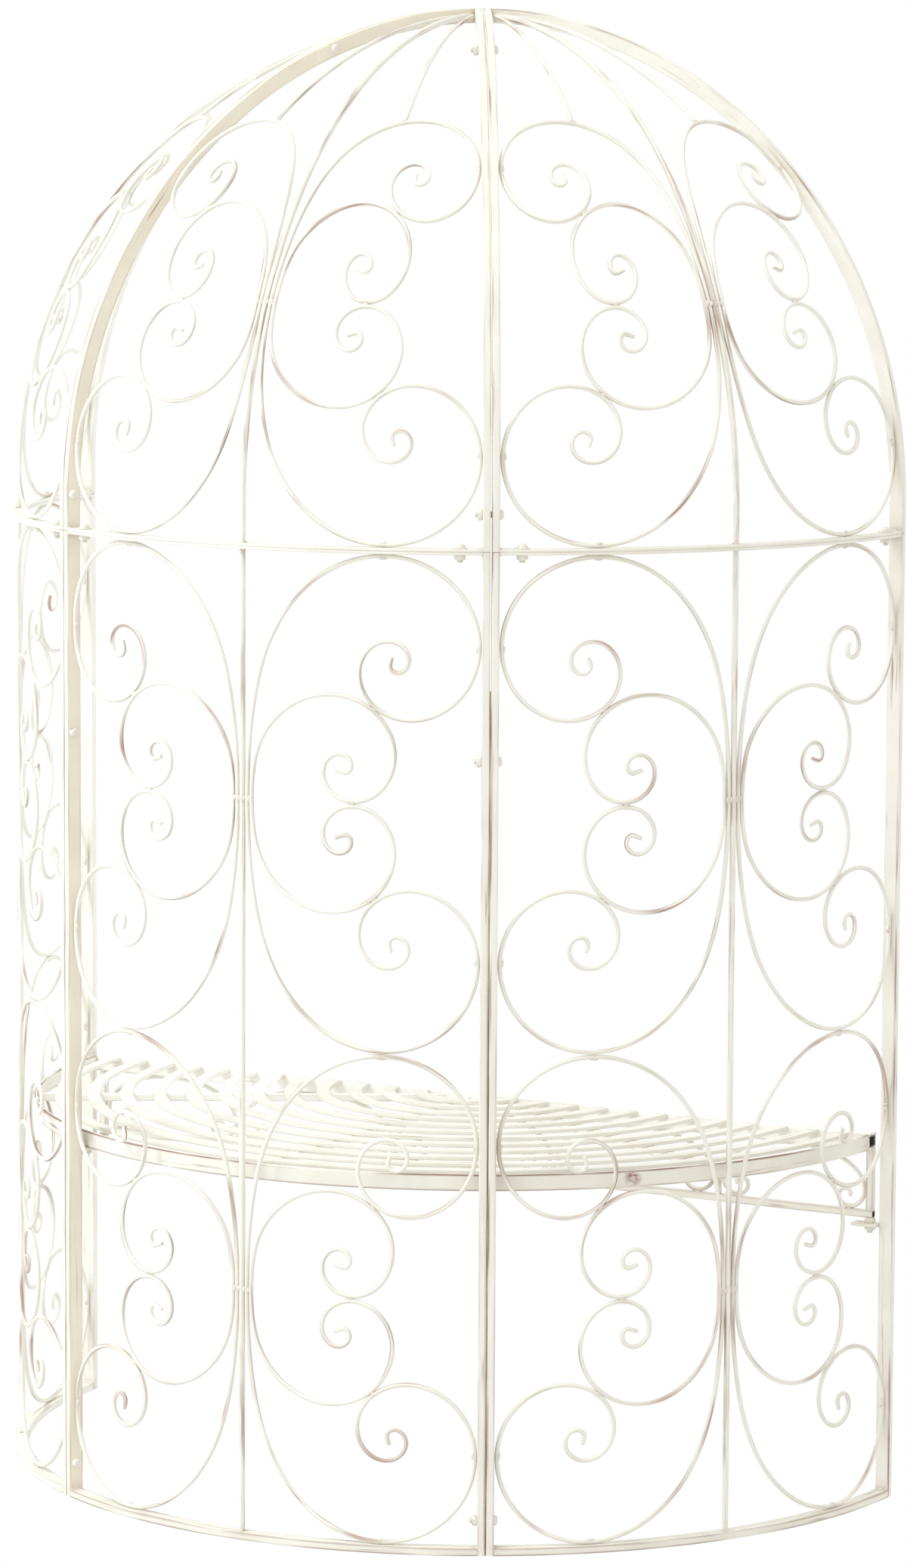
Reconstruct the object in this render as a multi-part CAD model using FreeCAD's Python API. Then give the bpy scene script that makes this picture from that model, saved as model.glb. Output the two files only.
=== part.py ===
import FreeCAD, Part
import os
from math import asin, atan2, cos, degrees, exp, log, pi, radians, sin, sqrt, tan

# A half-round garden gazebo of painted steel: three curved wall panels, three
# dome gores above them and a slatted half-round seat with a scrolled apron.
# Millimetres, +Z up, the open front faces -Y, the ground is Z = 0.

V = FreeCAD.Vector
UP = V(0, 0, 1)

# Frame
frame_radius = 650.0          # outside of the uprights and ribs, in plan
wall_height = 1318.0          # length of an upright
bar_depth = 20.0              # bar section, measured towards the centre
bar_thickness = 10.0          # bar section, measured around the wall
seam_gap = 2.0                # daylight between the bars of two panels
base_hoop_height = 10.0
mid_hoop_thickness = 4.0      # each of the two flats bolted together at mid height
rib_leg = 45.0                # straight foot of a rib below its quarter circle
panel_angle = 60.0            # plan angle of one panel
mitre_gap = 0.3               # between the two mitred rib tips of a gore

# Rods and scrolls
scroll_rod = 6.0
mid_rod = 8.0
touch_gap = 0.3               # between two rods, or a rod and a bar, that are welded
wall_tiers = 2
roof_tier = 618.0             # height of the roof scrolls, measured along the dome
roof_waist = 0.513            # place of their waist, as a share of that height
roof_crowding = 0.30          # how far the roof's upper loops crowd towards the crown
tie_share = 0.47              # place of a tie rod between the mid rod and the rib
arc_turn = 40.0               # a bent rod is drawn as arcs of about this turn
arc_length = 90.0             # and at most about this length
point_turn = 2.0              # the points that guide those arcs lie this turn apart
point_length = 6.0            # or about this length, whichever comes first

# Bending radius of the rod after each angle turned, starting at the mid rod
outer_bend = ((0, 1050.0), (20, 255.0), (45, 190.0), (90, 132.0), (180, 108.0), (270, 78.0), (360, 50.5),
              (450, 32.0), (540, 20.5), (620, 13.0), (690, 8.5), (720, 9.0), (735, 50.0), (740, 80.0))
inner_bend = ((0, 300.0), (20, 90.0), (45, 117.0), (90, 105.0), (180, 58.0), (270, 52.0), (360, 25.5),
              (450, 20.0), (540, 10.8), (600, 7.2), (636, 7.5), (646, 50.0), (653, 110.0))
apron_bend = ((0, 330.0), (25, 150.0), (60, 62.0), (90, 44.0), (180, 26.0), (270, 18.0),
              (360, 12.0), (450, 8.0), (500, 7.0))

# Seat
seat_height = 502.0           # top of the slats
seat_clearance = 10.0         # rim to the inside of the uprights
rim_height = 22.0
rim_thickness = 5.0
front_bar_depth = 25.0
slat_width = 18.0
slat_thickness = 5.0
slat_first_radius = 77.0
slat_pitch = 46.0
slat_edge_gap = 8.0           # least gap left beside the rim
spoke_width = 12.0
spoke_height = 10.0
spoke_angles = (30.0, 90.0, 150.0)

# Apron below the front edge of the seat
apron_drop = 86.0             # clear height between the front bar and the rail
apron_bar = 10.0              # square section of the rail and the end posts
apron_end_bay = 225.0
apron_middle_bays = 3
apron_tab_width = 6.0
apron_tab_height = 20.0

# Fasteners
bolt_size = 8.0
hole_clearance = 0.4          # on the diameter
thread_clearance = 0.2        # nut bore, on the diameter
nut_width = 13.0
nut_height = 6.5
bolt_tail = 3.5               # thread showing past the nut
head_width = 14.0
head_height = 5.0
head_crown = 5.0              # flat left on top of the domed head
flange_width = 20.0
flange_height = 1.5
seam_bolt_low = 46.0          # height of the wall's seam bolts
seam_bolt_high = 1047.0
roof_bolt_low = 48.0          # along the rib, above the mid hoop
roof_bolt_elevation = 68.0    # degrees up the rib's quarter circle
hoop_bolt_inset = 40.0        # from the seam
bracket_thickness = 4.0
bracket_width = 20.0
bracket_reach = 38.0
front_bracket_drop = 6.5      # spacer nut between the apron rail and its bracket

# Derived sizes
half_seam = seam_gap / 2.0
half_angle = panel_angle / 2.0
bar_inner = frame_radius - bar_depth
rod_radius = frame_radius - bar_depth / 2.0
bar_face = half_seam + bar_thickness
dome_z = wall_height + rib_leg
rail_bottom = seat_height - rim_height - apron_drop - apron_bar
rail_top = rail_bottom + apron_bar
seat_under = seat_height - rim_height
rim_outer = bar_inner - seat_clearance
rim_inner = rim_outer - rim_thickness
front_face = half_seam
front_back = front_face + front_bar_depth
rail_y = front_face + apron_bar / 2.0
stud_y = front_face + nut_width / 2.0
plan_shift = -(frame_radius + half_seam) / 2.0
panels = (("right", half_angle), ("back", half_angle + panel_angle), ("left", half_angle + 2 * panel_angle))
side_names = {"right": ("front", "back"), "back": ("right", "left"), "left": ("back", "front")}
open_ends = (("right", -1), ("left", 1))

os.makedirs("parts", exist_ok=True)


def save(name, solids):
    """Write one node: its solids moved so that the ground centre is the origin."""
    shape = solids[0] if len(solids) == 1 else Part.makeCompound(solids)
    shape = shape.copy()
    shape.translate(V(0, plan_shift, 0))
    shape.exportStep("parts/" + name + ".step")


def turned(shape, angle):
    """Copy of a shape turned about the vertical axis of the plan circle."""
    copy = shape.copy()
    copy.rotate(V(0, 0, 0), UP, angle)
    return copy


def mirrored(shape):
    """Copy of a panel piece reflected in the panel's middle plane."""
    return shape.mirror(V(0, 0, 0), V(0, 1, 0))


def moved(shape, dx, dy, dz):
    copy = shape.copy()
    copy.translate(V(dx, dy, dz))
    return copy


def ring_point(radius, offset, angle):
    """Point on a circle at a square distance from the radial plane at an angle."""
    run = sqrt(radius * radius - offset * offset)
    a = radians(angle)
    return V(run * cos(a) - offset * sin(a), run * sin(a) + offset * cos(a), 0)


def arc_bar(inner, outer, low, high):
    """Curved flat between the inner faces of a panel's two bars."""
    a = ring_point(outer, bar_face, -half_angle)
    b = ring_point(outer, -bar_face, half_angle)
    c = ring_point(inner, -bar_face, half_angle)
    d = ring_point(inner, bar_face, -half_angle)
    edges = [Part.Arc(a, V(outer, 0, 0), b).toShape(), Part.makeLine(b, c)]
    edges += [Part.Arc(c, V(inner, 0, 0), d).toShape(), Part.makeLine(d, a)]
    solid = Part.Face(Part.Wire(edges)).extrude(V(0, 0, high - low))
    return moved(solid, 0, 0, low)


def bar_hole(x, z):
    """Clearance hole for a seam bolt, across both bars of a seam."""
    reach = 2 * bar_face
    return Part.makeCylinder((bolt_size + hole_clearance) / 2.0, 2 * reach, V(x, -reach, z), V(0, 1, 0))


def roof_bolt_places():
    """Middle of the rib's section at its two bolts, in the rib's own plane."""
    e = radians(roof_bolt_elevation)
    return ((rod_radius, wall_height + roof_bolt_low), (rod_radius * cos(e), dome_z + rod_radius * sin(e)))


def wall_bolt_places():
    return ((rod_radius, seam_bolt_low), (rod_radius, seam_bolt_high))


def drilled(bar, places):
    for x, z in places:
        bar = bar.cut(bar_hole(x, z))
    return bar


def upright(side, bolted):
    """Vertical bar beside one seam of a panel; side is -1 or 1 around the panel."""
    y = half_seam if side < 0 else -bar_face
    bar = Part.makeBox(bar_depth, bar_thickness, wall_height, V(bar_inner, y, 0))
    if bolted:
        bar = drilled(bar, wall_bolt_places())
    return turned(bar, side * half_angle)


def rib(side, bolted):
    """Quarter-circle bar with a straight foot, mitred against its partner at the top."""
    s = sqrt(0.5)
    centre = V(0, 0, dome_z)

    def quarter(radius):
        top = centre + V(0, 0, radius)
        return Part.Arc(V(radius, 0, dome_z), centre + V(radius * s, 0, radius * s), top).toShape()

    edges = [quarter(frame_radius), quarter(bar_inner)]
    edges.append(Part.makeLine(V(frame_radius, 0, wall_height), V(frame_radius, 0, dome_z)))
    edges.append(Part.makeLine(V(0, 0, dome_z + frame_radius), V(0, 0, dome_z + bar_inner)))
    edges.append(Part.makeLine(V(bar_inner, 0, dome_z), V(bar_inner, 0, wall_height)))
    edges.append(Part.makeLine(V(bar_inner, 0, wall_height), V(frame_radius, 0, wall_height)))
    y = half_seam if side < 0 else -bar_face
    bar = Part.Face(Part.Wire(Part.__sortEdges__(edges))).extrude(V(0, bar_thickness, 0))
    bar = moved(bar, 0, y, 0)
    if bolted:
        bar = drilled(bar, roof_bolt_places())
    bar = turned(bar, side * half_angle)
    span = 2 * frame_radius
    low = -span if side > 0 else -mitre_gap / 2.0
    return bar.cut(Part.makeBox(2 * span, span + mitre_gap / 2.0, 2 * span, V(-span, low, 0)))


def bend_curve(bends, start):
    """Walk along a rod that starts upright and turns outward.

    The bending radius changes smoothly with the angle turned: its logarithm runs
    straight between the listed values. Returns (angle turned, across, up).
    """
    out = [(0.0, start, 0.0)]
    x, z, turn, walked = start, 0.0, 0.0, 0.0
    last = bends[-1][0]
    small = 0.25
    while turn < last - 1e-9:
        mid = turn + small / 2.0
        for (a0, r0), (a1, r1) in zip(bends, bends[1:]):
            if a0 <= mid <= a1:
                radius = exp(log(r0) + (log(r1) - log(r0)) * (mid - a0) / (a1 - a0))
                break
        step = radius * radians(small)
        x += step * sin(radians(mid))
        z += step * cos(radians(mid))
        turn += small
        walked += step
        if turn - out[-1][0] >= point_turn - 1e-9 or walked >= point_length or turn >= last - 1e-9:
            out.append((turn, x, z))
            walked = 0.0
    return out


def arc_edge(a, direction, b):
    """Arc that leaves a along a direction and ends at b."""
    chord = b - a
    along = chord * (1.0 / chord.Length)
    side = direction - along * direction.dot(along)
    if side.Length < 1e-6:
        return Part.makeLine(a, b)
    lean = atan2(side.Length, direction.dot(along))
    middle = (a + b) * 0.5 + side * (chord.Length / 2.0 * tan(lean / 2.0) / side.Length)
    return Part.Arc(a, middle, b).toShape()


def arc_path(points):
    """Chain of arcs, each running smoothly into the next, along closely spaced points."""
    heads = [points[1] - points[0]]
    heads += [q - p for p, q in zip(points, points[2:])]
    heads.append(points[-1] - points[-2])
    heads = [h * (1.0 / h.Length) for h in heads]
    heads[0] = heads[0] * 2.0 * heads[0].dot(heads[1]) - heads[1]
    heads[-1] = heads[-1] * 2.0 * heads[-1].dot(heads[-2]) - heads[-2]
    nodes = [0]
    turned_by, length = 0.0, 0.0
    for k in range(1, len(points)):
        turned_by += degrees(heads[k].getAngle(heads[k - 1]))
        length += (points[k] - points[k - 1]).Length
        if turned_by >= arc_turn or length >= arc_length or k == len(points) - 1:
            nodes.append(k)
            turned_by, length = 0.0, 0.0
    edges = []
    for i, j in zip(nodes, nodes[1:]):
        p, q, s, t = points[i], points[j], heads[i], heads[j]
        v = q - p
        spread = 1.0 - s.dot(t)
        if spread < 1e-9:
            reach = v.dot(v) / (4.0 * v.dot(s))
        else:
            b = v.dot(s + t)
            reach = (sqrt(b * b + 2.0 * spread * v.dot(v)) - b) / (2.0 * spread)
        knee = (p + q + (s - t) * reach) * 0.5
        edges.append(arc_edge(p, s, knee))
        edges.append(arc_edge(knee, (knee - p) * (2.0 * (knee - p).dot(s) / (knee - p).dot(knee - p)) - s, q))
    return Part.Wire(edges), heads[0]


def swept_rod(points, size):
    """Round rod along closely spaced points."""
    path, head = arc_path(points)
    pipe = Part.BRepOffsetAPI.MakePipeShell(path)
    pipe.setFrenetMode(False)
    pipe.add(Part.Wire([Part.makeCircle(size / 2.0, points[0], head)]))
    pipe.build()
    pipe.makeSolid()
    return pipe.shape()


# Surfaces that carry the scrolls. A place is (distance around from the panel's
# middle, distance up): the wall is a cylinder, the roof a short upright foot and
# then a sphere.
def wall_place(across, up):
    a = across / rod_radius
    return V(rod_radius * cos(a), rod_radius * sin(a), up)


def wall_width(up):
    """Distance around from the panel's middle to a rod that touches the upright."""
    return rod_radius * (radians(half_angle) - asin((bar_face + scroll_rod / 2.0 + touch_gap) / rod_radius))


def dome_angle(up):
    return max(0.0, up - rib_leg) / rod_radius


def roof_place(across, up):
    e = dome_angle(up)
    ring = rod_radius * cos(e)
    a = across / ring
    z = wall_height + min(up, rib_leg) + rod_radius * sin(e)
    return V(ring * cos(a), ring * sin(a), z)


def roof_width(up):
    ring = rod_radius * cos(dome_angle(up))
    return ring * (radians(half_angle) - asin((bar_face + scroll_rod / 2.0 + touch_gap) / ring))


outer_start = (mid_rod + scroll_rod) / 2.0 + touch_gap
inner_start = outer_start + scroll_rod + touch_gap
outer_curve = bend_curve(outer_bend, outer_start)
inner_curve = bend_curve(inner_bend, inner_start)
outer_reach = max(p[1] for p in outer_curve)
outer_rise = max(p[2] for p in outer_curve)

# Stretches of a half scroll that can touch a neighbour, by the angle turned
crest_turns = (40.0, 130.0)        # outer scroll, where it meets a hoop or a tie rod
loop_turns = (225.0, 400.0)        # outer scroll, beside the inner one
ring_turns = (60.0, 215.0)         # inner scroll, beside the outer one
foot_turns = (200.0, 320.0)        # inner scroll, where its two halves meet
stretch_range = (0.6, 1.3)         # of an inner scroll against its outer one


def stretch_of(half, turns):
    """The places of a half scroll between two angles turned."""
    return [p for turn, p in half if turns[0] <= turn <= turns[1]]


inner_foot = min(stretch_of([(turn, z) for turn, x, z in inner_curve], foot_turns))


# A half of a scroll is described by (middle, half, sign, crowding): the height of the
# waist, the length from there to the end of the tier, 1 for up or -1 for down, and
# how far its loops crowd towards that end.
def crowded(share, crowding):
    """Share of the way along a half, pushed towards the end while both ends stay."""
    return share + crowding * share * (1.0 - share)


def outer_half(place, width, middle, half, sign, crowding):
    """Half of an outer scroll, from the mid rod out: it fills its tier and its half panel."""
    points = []
    for turn, x, z in outer_curve:
        rise = crowded(z / outer_rise, crowding) * (half - scroll_rod / 2.0 - touch_gap / 2.0)
        up = middle + sign * rise
        share = (x - outer_start) / (outer_reach - outer_start)
        points.append((turn, place(outer_start + share * (width(up) - outer_start), up)))
    return points


def inner_half(place, width, middle, half, sign, crowding, stretch):
    """Half of an inner scroll: its loop meets the other half's loop at the waist."""
    scale = half / outer_rise * stretch
    foot = (scroll_rod + touch_gap) / 2.0 / (1.0 + crowding)
    lift = foot - inner_foot * scale
    points = []
    for turn, x, z in inner_curve:
        t = min(1.0, turn / 180.0)
        rise = z * scale + lift * t * t * (3.0 - 2.0 * t)
        up = middle + sign * half * crowded(rise / half, crowding)
        share = (x - inner_start) / (outer_reach - outer_start)
        points.append((turn, place(inner_start + share * (width(up) - outer_start), up)))
    return points


def nearest(a, b):
    return min((p - q).Length for p in a for q in b)


def fitted_inner(place, width, *half):
    """Stretch the inner scroll along its half until it touches the outer one."""
    loop = stretch_of(outer_half(place, width, *half), loop_turns)
    low, high = stretch_range
    for _ in range(16):
        stretch = (low + high) / 2.0
        ring = stretch_of(inner_half(place, width, *half, stretch), ring_turns)
        if nearest(loop, ring) > scroll_rod + 2 * touch_gap:
            low = stretch
        else:
            high = stretch
    return inner_half(place, width, *half, low)


def joined(upper, lower):
    """One C-scroll: from the curl of the upper half through the mid rod to the lower curl."""
    return [p for turn, p in reversed(upper)] + [p for turn, p in lower[1:]]


def scroll_pair(place, width, upper, lower):
    """The outer and the inner C-scroll on the positive side of a panel's mid rod."""
    outer = joined(outer_half(place, width, *upper), outer_half(place, width, *lower))
    inner = joined(fitted_inner(place, width, *upper), fitted_inner(place, width, *lower))
    return swept_rod(outer, scroll_rod), swept_rod(inner, scroll_rod)


# Walls
tier = (wall_height - mid_hoop_thickness - base_hoop_height) / wall_tiers
wall_middle = base_hoop_height + tier / 2.0
wall_upper = (wall_middle, tier / 2.0, 1, 0.0)
wall_lower = (wall_middle, tier / 2.0, -1, 0.0)
wall_outer, wall_inner = scroll_pair(wall_place, wall_width, wall_upper, wall_lower)
tier_names = ("lower", "upper")
base_hoop = arc_bar(bar_inner, frame_radius, 0, base_hoop_height)
hoop_hole_angle = half_angle - degrees(hoop_bolt_inset / rod_radius)


def hoop_flat(low):
    flat = arc_bar(bar_inner, frame_radius, low, low + mid_hoop_thickness)
    for side in (-1, 1):
        a = radians(side * hoop_hole_angle)
        centre = V(rod_radius * cos(a), rod_radius * sin(a), low - 1)
        flat = flat.cut(Part.makeCylinder((bolt_size + hole_clearance) / 2.0, mid_hoop_thickness + 2, centre))
    return flat


top_hoop = hoop_flat(wall_height - mid_hoop_thickness)
rod_length = wall_height - mid_hoop_thickness - base_hoop_height
wall_mid_rod = Part.makeCylinder(mid_rod / 2.0, rod_length, V(rod_radius, 0, base_hoop_height))

for name, angle in panels:
    for side, where in zip((-1, 1), side_names[name]):
        bolted = (name, side) not in open_ends
        save("wall_" + name + "_" + where + "_upright", [turned(upright(side, bolted), angle)])
    save("wall_" + name + "_base_hoop", [turned(base_hoop, angle)])
    save("wall_" + name + "_top_hoop", [turned(top_hoop, angle)])
    save("wall_" + name + "_mid_rod", [turned(wall_mid_rod, angle)])
    inners = []
    for k in range(wall_tiers):
        up = k * tier
        outers = [moved(s, 0, 0, up) for s in (wall_outer, mirrored(wall_outer))]
        save("wall_" + name + "_outer_scrolls_" + tier_names[k], [turned(s, angle) for s in outers])
        inners += [moved(s, 0, 0, up) for s in (wall_inner, mirrored(wall_inner))]
    save("wall_" + name + "_inner_scrolls", [turned(s, angle) for s in inners])

# Roof
roof_foot = mid_hoop_thickness
roof_middle = roof_foot + roof_waist * roof_tier
roof_upper = (roof_middle, (1.0 - roof_waist) * roof_tier, 1, roof_crowding)
roof_lower = (roof_middle, roof_waist * roof_tier, -1, 0.0)
roof_outer, roof_inner = scroll_pair(roof_place, roof_width, roof_upper, roof_lower)
roof_hoop = hoop_flat(wall_height)
crown_ring = (bar_face + mid_rod / 2.0 + touch_gap) / sin(radians(half_angle))


def up_for_ring(ring):
    """Distance up the roof at which the sphere's ring has a radius."""
    return rib_leg + rod_radius * (pi / 2.0 - asin(ring / rod_radius))


def roof_rod(share, low, high, size):
    """Rod up the dome at a fixed share of the half panel's angle."""
    steps = 96
    points = []
    for k in range(steps + 1):
        up = low + (high - low) * k / steps
        ring = rod_radius * cos(dome_angle(up))
        points.append(roof_place(share * radians(half_angle) * ring, up))
    return swept_rod(points, size)


roof_mid_rod = roof_rod(0.0, roof_foot, up_for_ring(crown_ring), mid_rod)


def tie_foot():
    """Lowest height at which the tie rod's flat end clears the outer scroll's crest."""
    crest = stretch_of(outer_half(roof_place, roof_width, *roof_upper), crest_turns)
    aim = tie_share * radians(half_angle)
    below = min(crest, key=lambda p: abs(atan2(p.y, p.x) - aim))
    low = rib_leg + rod_radius * asin((below.z - dome_z) / rod_radius)
    high = low + 4 * scroll_rod
    for _ in range(20):
        up = (low + high) / 2.0
        across = tie_share * radians(half_angle) * rod_radius * cos(dome_angle(up))
        end = [roof_place(across + k * scroll_rod / 12.0, up) for k in range(-6, 7)]
        if nearest(crest, end) < scroll_rod / 2.0 + touch_gap:
            low = up
        else:
            high = up
    return high


tie_angle = radians(half_angle) * (1.0 - tie_share)
tie_ring = (bar_face + scroll_rod / 2.0 + touch_gap) / sin(tie_angle)
tie = roof_rod(tie_share, tie_foot(), up_for_ring(tie_ring), scroll_rod)

for name, angle in panels:
    for side, where in zip((-1, 1), side_names[name]):
        bolted = (name, side) not in open_ends
        save("roof_" + name + "_" + where + "_rib", [turned(rib(side, bolted), angle)])
    save("roof_" + name + "_hoop", [turned(roof_hoop, angle)])
    save("roof_" + name + "_mid_rod", [turned(roof_mid_rod, angle)])
    save("roof_" + name + "_tie_rods", [turned(s, angle) for s in (tie, mirrored(tie))])
    save("roof_" + name + "_outer_scrolls", [turned(s, angle) for s in (roof_outer, mirrored(roof_outer))])
    save("roof_" + name + "_inner_scrolls", [turned(s, angle) for s in (roof_inner, mirrored(roof_inner))])


# Seat
def half_ring(inner, outer, edge, low, high):
    """Half ring behind a straight front edge."""
    a, b = sqrt(outer * outer - edge * edge), sqrt(inner * inner - edge * edge)
    edges = [Part.Arc(V(a, edge, low), V(0, outer, low), V(-a, edge, low)).toShape()]
    edges.append(Part.makeLine(V(-a, edge, low), V(-b, edge, low)))
    edges.append(Part.Arc(V(-b, edge, low), V(0, inner, low), V(b, edge, low)).toShape())
    edges.append(Part.makeLine(V(b, edge, low), V(a, edge, low)))
    return Part.Face(Part.Wire(edges)).extrude(V(0, 0, high - low))


save("seat_rim", [half_ring(rim_inner, rim_outer, front_back, seat_under, seat_height)])
bar_end = sqrt(rim_outer * rim_outer - front_back * front_back)
front_bar = Part.makeBox(2 * bar_end, front_bar_depth, rim_height, V(-bar_end, front_face, seat_under))
save("seat_front_bar", [front_bar])

slat_low = seat_height - slat_thickness
slat_count = int((rim_inner - slat_edge_gap - slat_width / 2.0 - slat_first_radius) / slat_pitch) + 1
slats = []
for k in range(slat_count):
    inside = slat_first_radius + k * slat_pitch - slat_width / 2.0
    slats.append(half_ring(inside, inside + slat_width, front_back, slat_low, seat_height))
save("seat_slats", slats)

spokes = []
spoke_low = slat_low - spoke_height
within_rim = Part.makeCylinder(rim_inner, spoke_height, V(0, 0, spoke_low))
behind_bar = Part.makeBox(4 * rim_outer, 2 * rim_outer, seat_height, V(-2 * rim_outer, front_back, 0))
for angle in spoke_angles:
    spoke = Part.makeBox(rim_outer, spoke_width, spoke_height, V(0, -spoke_width / 2.0, spoke_low))
    spokes.append(turned(spoke, angle).common(within_rim).common(behind_bar))
save("seat_spokes", spokes)

# Apron
post_out = bar_end
rail = Part.makeBox(2 * post_out, apron_bar, apron_bar, V(-post_out, front_face, rail_bottom))
save("apron_rail", [rail])
post = Part.makeBox(apron_bar, apron_bar, apron_drop, V(post_out - apron_bar, front_face, rail_top))
save("apron_posts", [post, moved(post, apron_bar - 2 * post_out, 0, 0)])

bay_edge = post_out - apron_bar
inner_edge = bay_edge - apron_end_bay
middle_bay = 2 * inner_edge / apron_middle_bays
tab_places = [-inner_edge + k * middle_bay for k in range(apron_middle_bays + 1)]
half_tab = apron_tab_width / 2.0
tab = Part.makeBox(apron_tab_width, apron_bar, apron_tab_height, V(-half_tab, front_face, rail_top))
save("apron_tabs", [moved(tab, x, 0, 0) for x in tab_places])
apron_curve = bend_curve(apron_bend, 0.0)


def apron_scroll(left, right):
    """C-scroll that fills a bay: its back lies under the seat and its loops on the rail."""
    middle = (left + right) / 2.0
    reach = (right - left) / 2.0 - scroll_rod / 2.0 - touch_gap
    top = rail_top + apron_drop - scroll_rod / 2.0 - 2 * touch_gap
    height = apron_drop - scroll_rod - 3 * touch_gap
    wide = max(p[2] for p in apron_curve)
    deep = max(p[1] for p in apron_curve)
    half = [(z * reach / wide, top - x * height / deep) for turn, x, z in apron_curve]
    points = [V(middle - a, rail_y, z) for a, z in reversed(half)]
    points += [V(middle + a, rail_y, z) for a, z in half[1:]]
    return swept_rod(points, scroll_rod)


bays = [(-bay_edge, tab_places[0] - half_tab)]
bays += [(a + half_tab, b - half_tab) for a, b in zip(tab_places, tab_places[1:])]
bays.append((tab_places[-1] + half_tab, bay_edge))
save("apron_scrolls", [apron_scroll(a, b) for a, b in bays])


# Fasteners. Each is drawn on the Z axis, with its seat at Z = 0, and then placed.
def headed_bolt(grip, flanged):
    """Bolt with a domed head above Z = 0 and its thread hanging below."""
    shank = bolt_size / 2.0
    tail = -(grip + nut_height + bolt_tail)
    wide = head_width / 2.0
    corners = [V(0, 0, tail), V(shank, 0, tail), V(shank, 0, 0)]
    base = 0.0
    if flanged:
        corners += [V(flange_width / 2.0, 0, 0), V(flange_width / 2.0, 0, flange_height)]
        base = flange_height
        corners.append(V(wide, 0, base))
    else:
        corners.append(V(wide, 0, 0))
    edges = [Part.makeLine(a, b) for a, b in zip(corners, corners[1:])]
    rim = V(head_crown / 2.0, 0, base + head_height)
    lean = radians(45)
    middle = V(rim.x + (wide - rim.x) * cos(lean), 0, base + head_height * sin(lean))
    edges.append(Part.Arc(corners[-1], middle, rim).toShape())
    top = V(0, 0, base + head_height)
    edges += [Part.makeLine(rim, top), Part.makeLine(top, corners[0])]
    return Part.Face(Part.Wire(edges)).revolve(V(0, 0, 0), UP, 360)


def hex_nut():
    """Hexagon nut hanging below Z = 0."""
    corner = nut_width / 2.0 / cos(pi / 6)
    ring = [V(corner * cos(k * pi / 3), corner * sin(k * pi / 3), -nut_height) for k in range(6)]
    body = Part.Face(Part.makePolygon(ring + ring[:1])).extrude(V(0, 0, nut_height))
    bore = (bolt_size + thread_clearance) / 2.0
    return body.cut(Part.makeCylinder(bore, 3 * nut_height, V(0, 0, -2 * nut_height)))


def across_seam(shape, x, z, angle):
    """Lay a fastener along the bolt hole of the seam at a plan angle."""
    copy = shape.copy()
    copy.rotate(V(0, 0, 0), V(1, 0, 0), -90)
    copy.translate(V(x, 0, z))
    return turned(copy, angle)


seam_bolt = moved(headed_bolt(2 * bar_face, False), 0, 0, bar_face)
seam_nut = moved(hex_nut(), 0, 0, -bar_face)
seam_angles = (panel_angle, 2 * panel_angle)
seam_places = [(x, z, a) for a in seam_angles for x, z in wall_bolt_places() + roof_bolt_places()]
save("seam_bolts", [across_seam(seam_bolt, x, z, a) for x, z, a in seam_places])
save("seam_nuts", [across_seam(seam_nut, x, z, a) for x, z, a in seam_places])

hoop_bolt = moved(headed_bolt(2 * mid_hoop_thickness, True), rod_radius, 0, wall_height + mid_hoop_thickness)
hoop_nut = moved(hex_nut(), rod_radius, 0, wall_height - mid_hoop_thickness)
hoop_angles = [angle + side * hoop_hole_angle for name, angle in panels for side in (-1, 1)]
save("hoop_bolts", [turned(hoop_bolt, a) for a in hoop_angles])
save("hoop_nuts", [turned(hoop_nut, a) for a in hoop_angles])

# Seat brackets: small plates on the uprights that carry the seat on studs
stud_ring = rim_outer - apron_bar / 2.0
back_ring = (rim_outer + rim_inner) / 2.0
stud_hole = (bolt_size + hole_clearance) / 2.0
bracket_end = bar_inner - bracket_reach


def bracket(x0, width_low, width_high, top, hole_x, hole_y):
    """Plate from the inside of a bar towards the centre, with a stud hole."""
    low = top - bracket_thickness
    plate = Part.makeBox(bar_inner - x0, width_high - width_low, bracket_thickness, V(x0, width_low, low))
    below = V(hole_x, hole_y, low - bracket_thickness)
    return plate.cut(Part.makeCylinder(stud_hole, 3 * bracket_thickness, below))


def stud(length, top):
    return Part.makeCylinder(bolt_size / 2.0, length, V(0, 0, top - length))


front_top = rail_bottom - front_bracket_drop
front_plate = bracket(bracket_end, half_seam, half_seam + bracket_width, front_top, stud_ring, stud_y)
back_plate = bracket(bracket_end, -bracket_width / 2.0, bracket_width / 2.0, seat_under, back_ring, 0.0)
brackets = [front_plate, front_plate.mirror(V(0, 0, 0), V(1, 0, 0))]
brackets += [turned(back_plate, a) for a in seam_angles]
save("seat_brackets", brackets)

front_stud = stud(front_bracket_drop + bracket_thickness + nut_height + bolt_tail, rail_bottom)
back_stud = stud(bracket_thickness + nut_height + bolt_tail, seat_under)
studs = [moved(front_stud, x, stud_y, 0) for x in (stud_ring, -stud_ring)]
studs += [turned(moved(back_stud, back_ring, 0, 0), a) for a in seam_angles]
save("seat_studs", studs)

spacer = hex_nut()
nuts = []
for x in (stud_ring, -stud_ring):
    nuts.append(moved(spacer, x, stud_y, rail_bottom))
    nuts.append(moved(hex_nut(), x, stud_y, front_top - bracket_thickness))
nuts += [turned(moved(hex_nut(), back_ring, 0, seat_under - bracket_thickness), a) for a in seam_angles]
save("seat_nuts", nuts)
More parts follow.
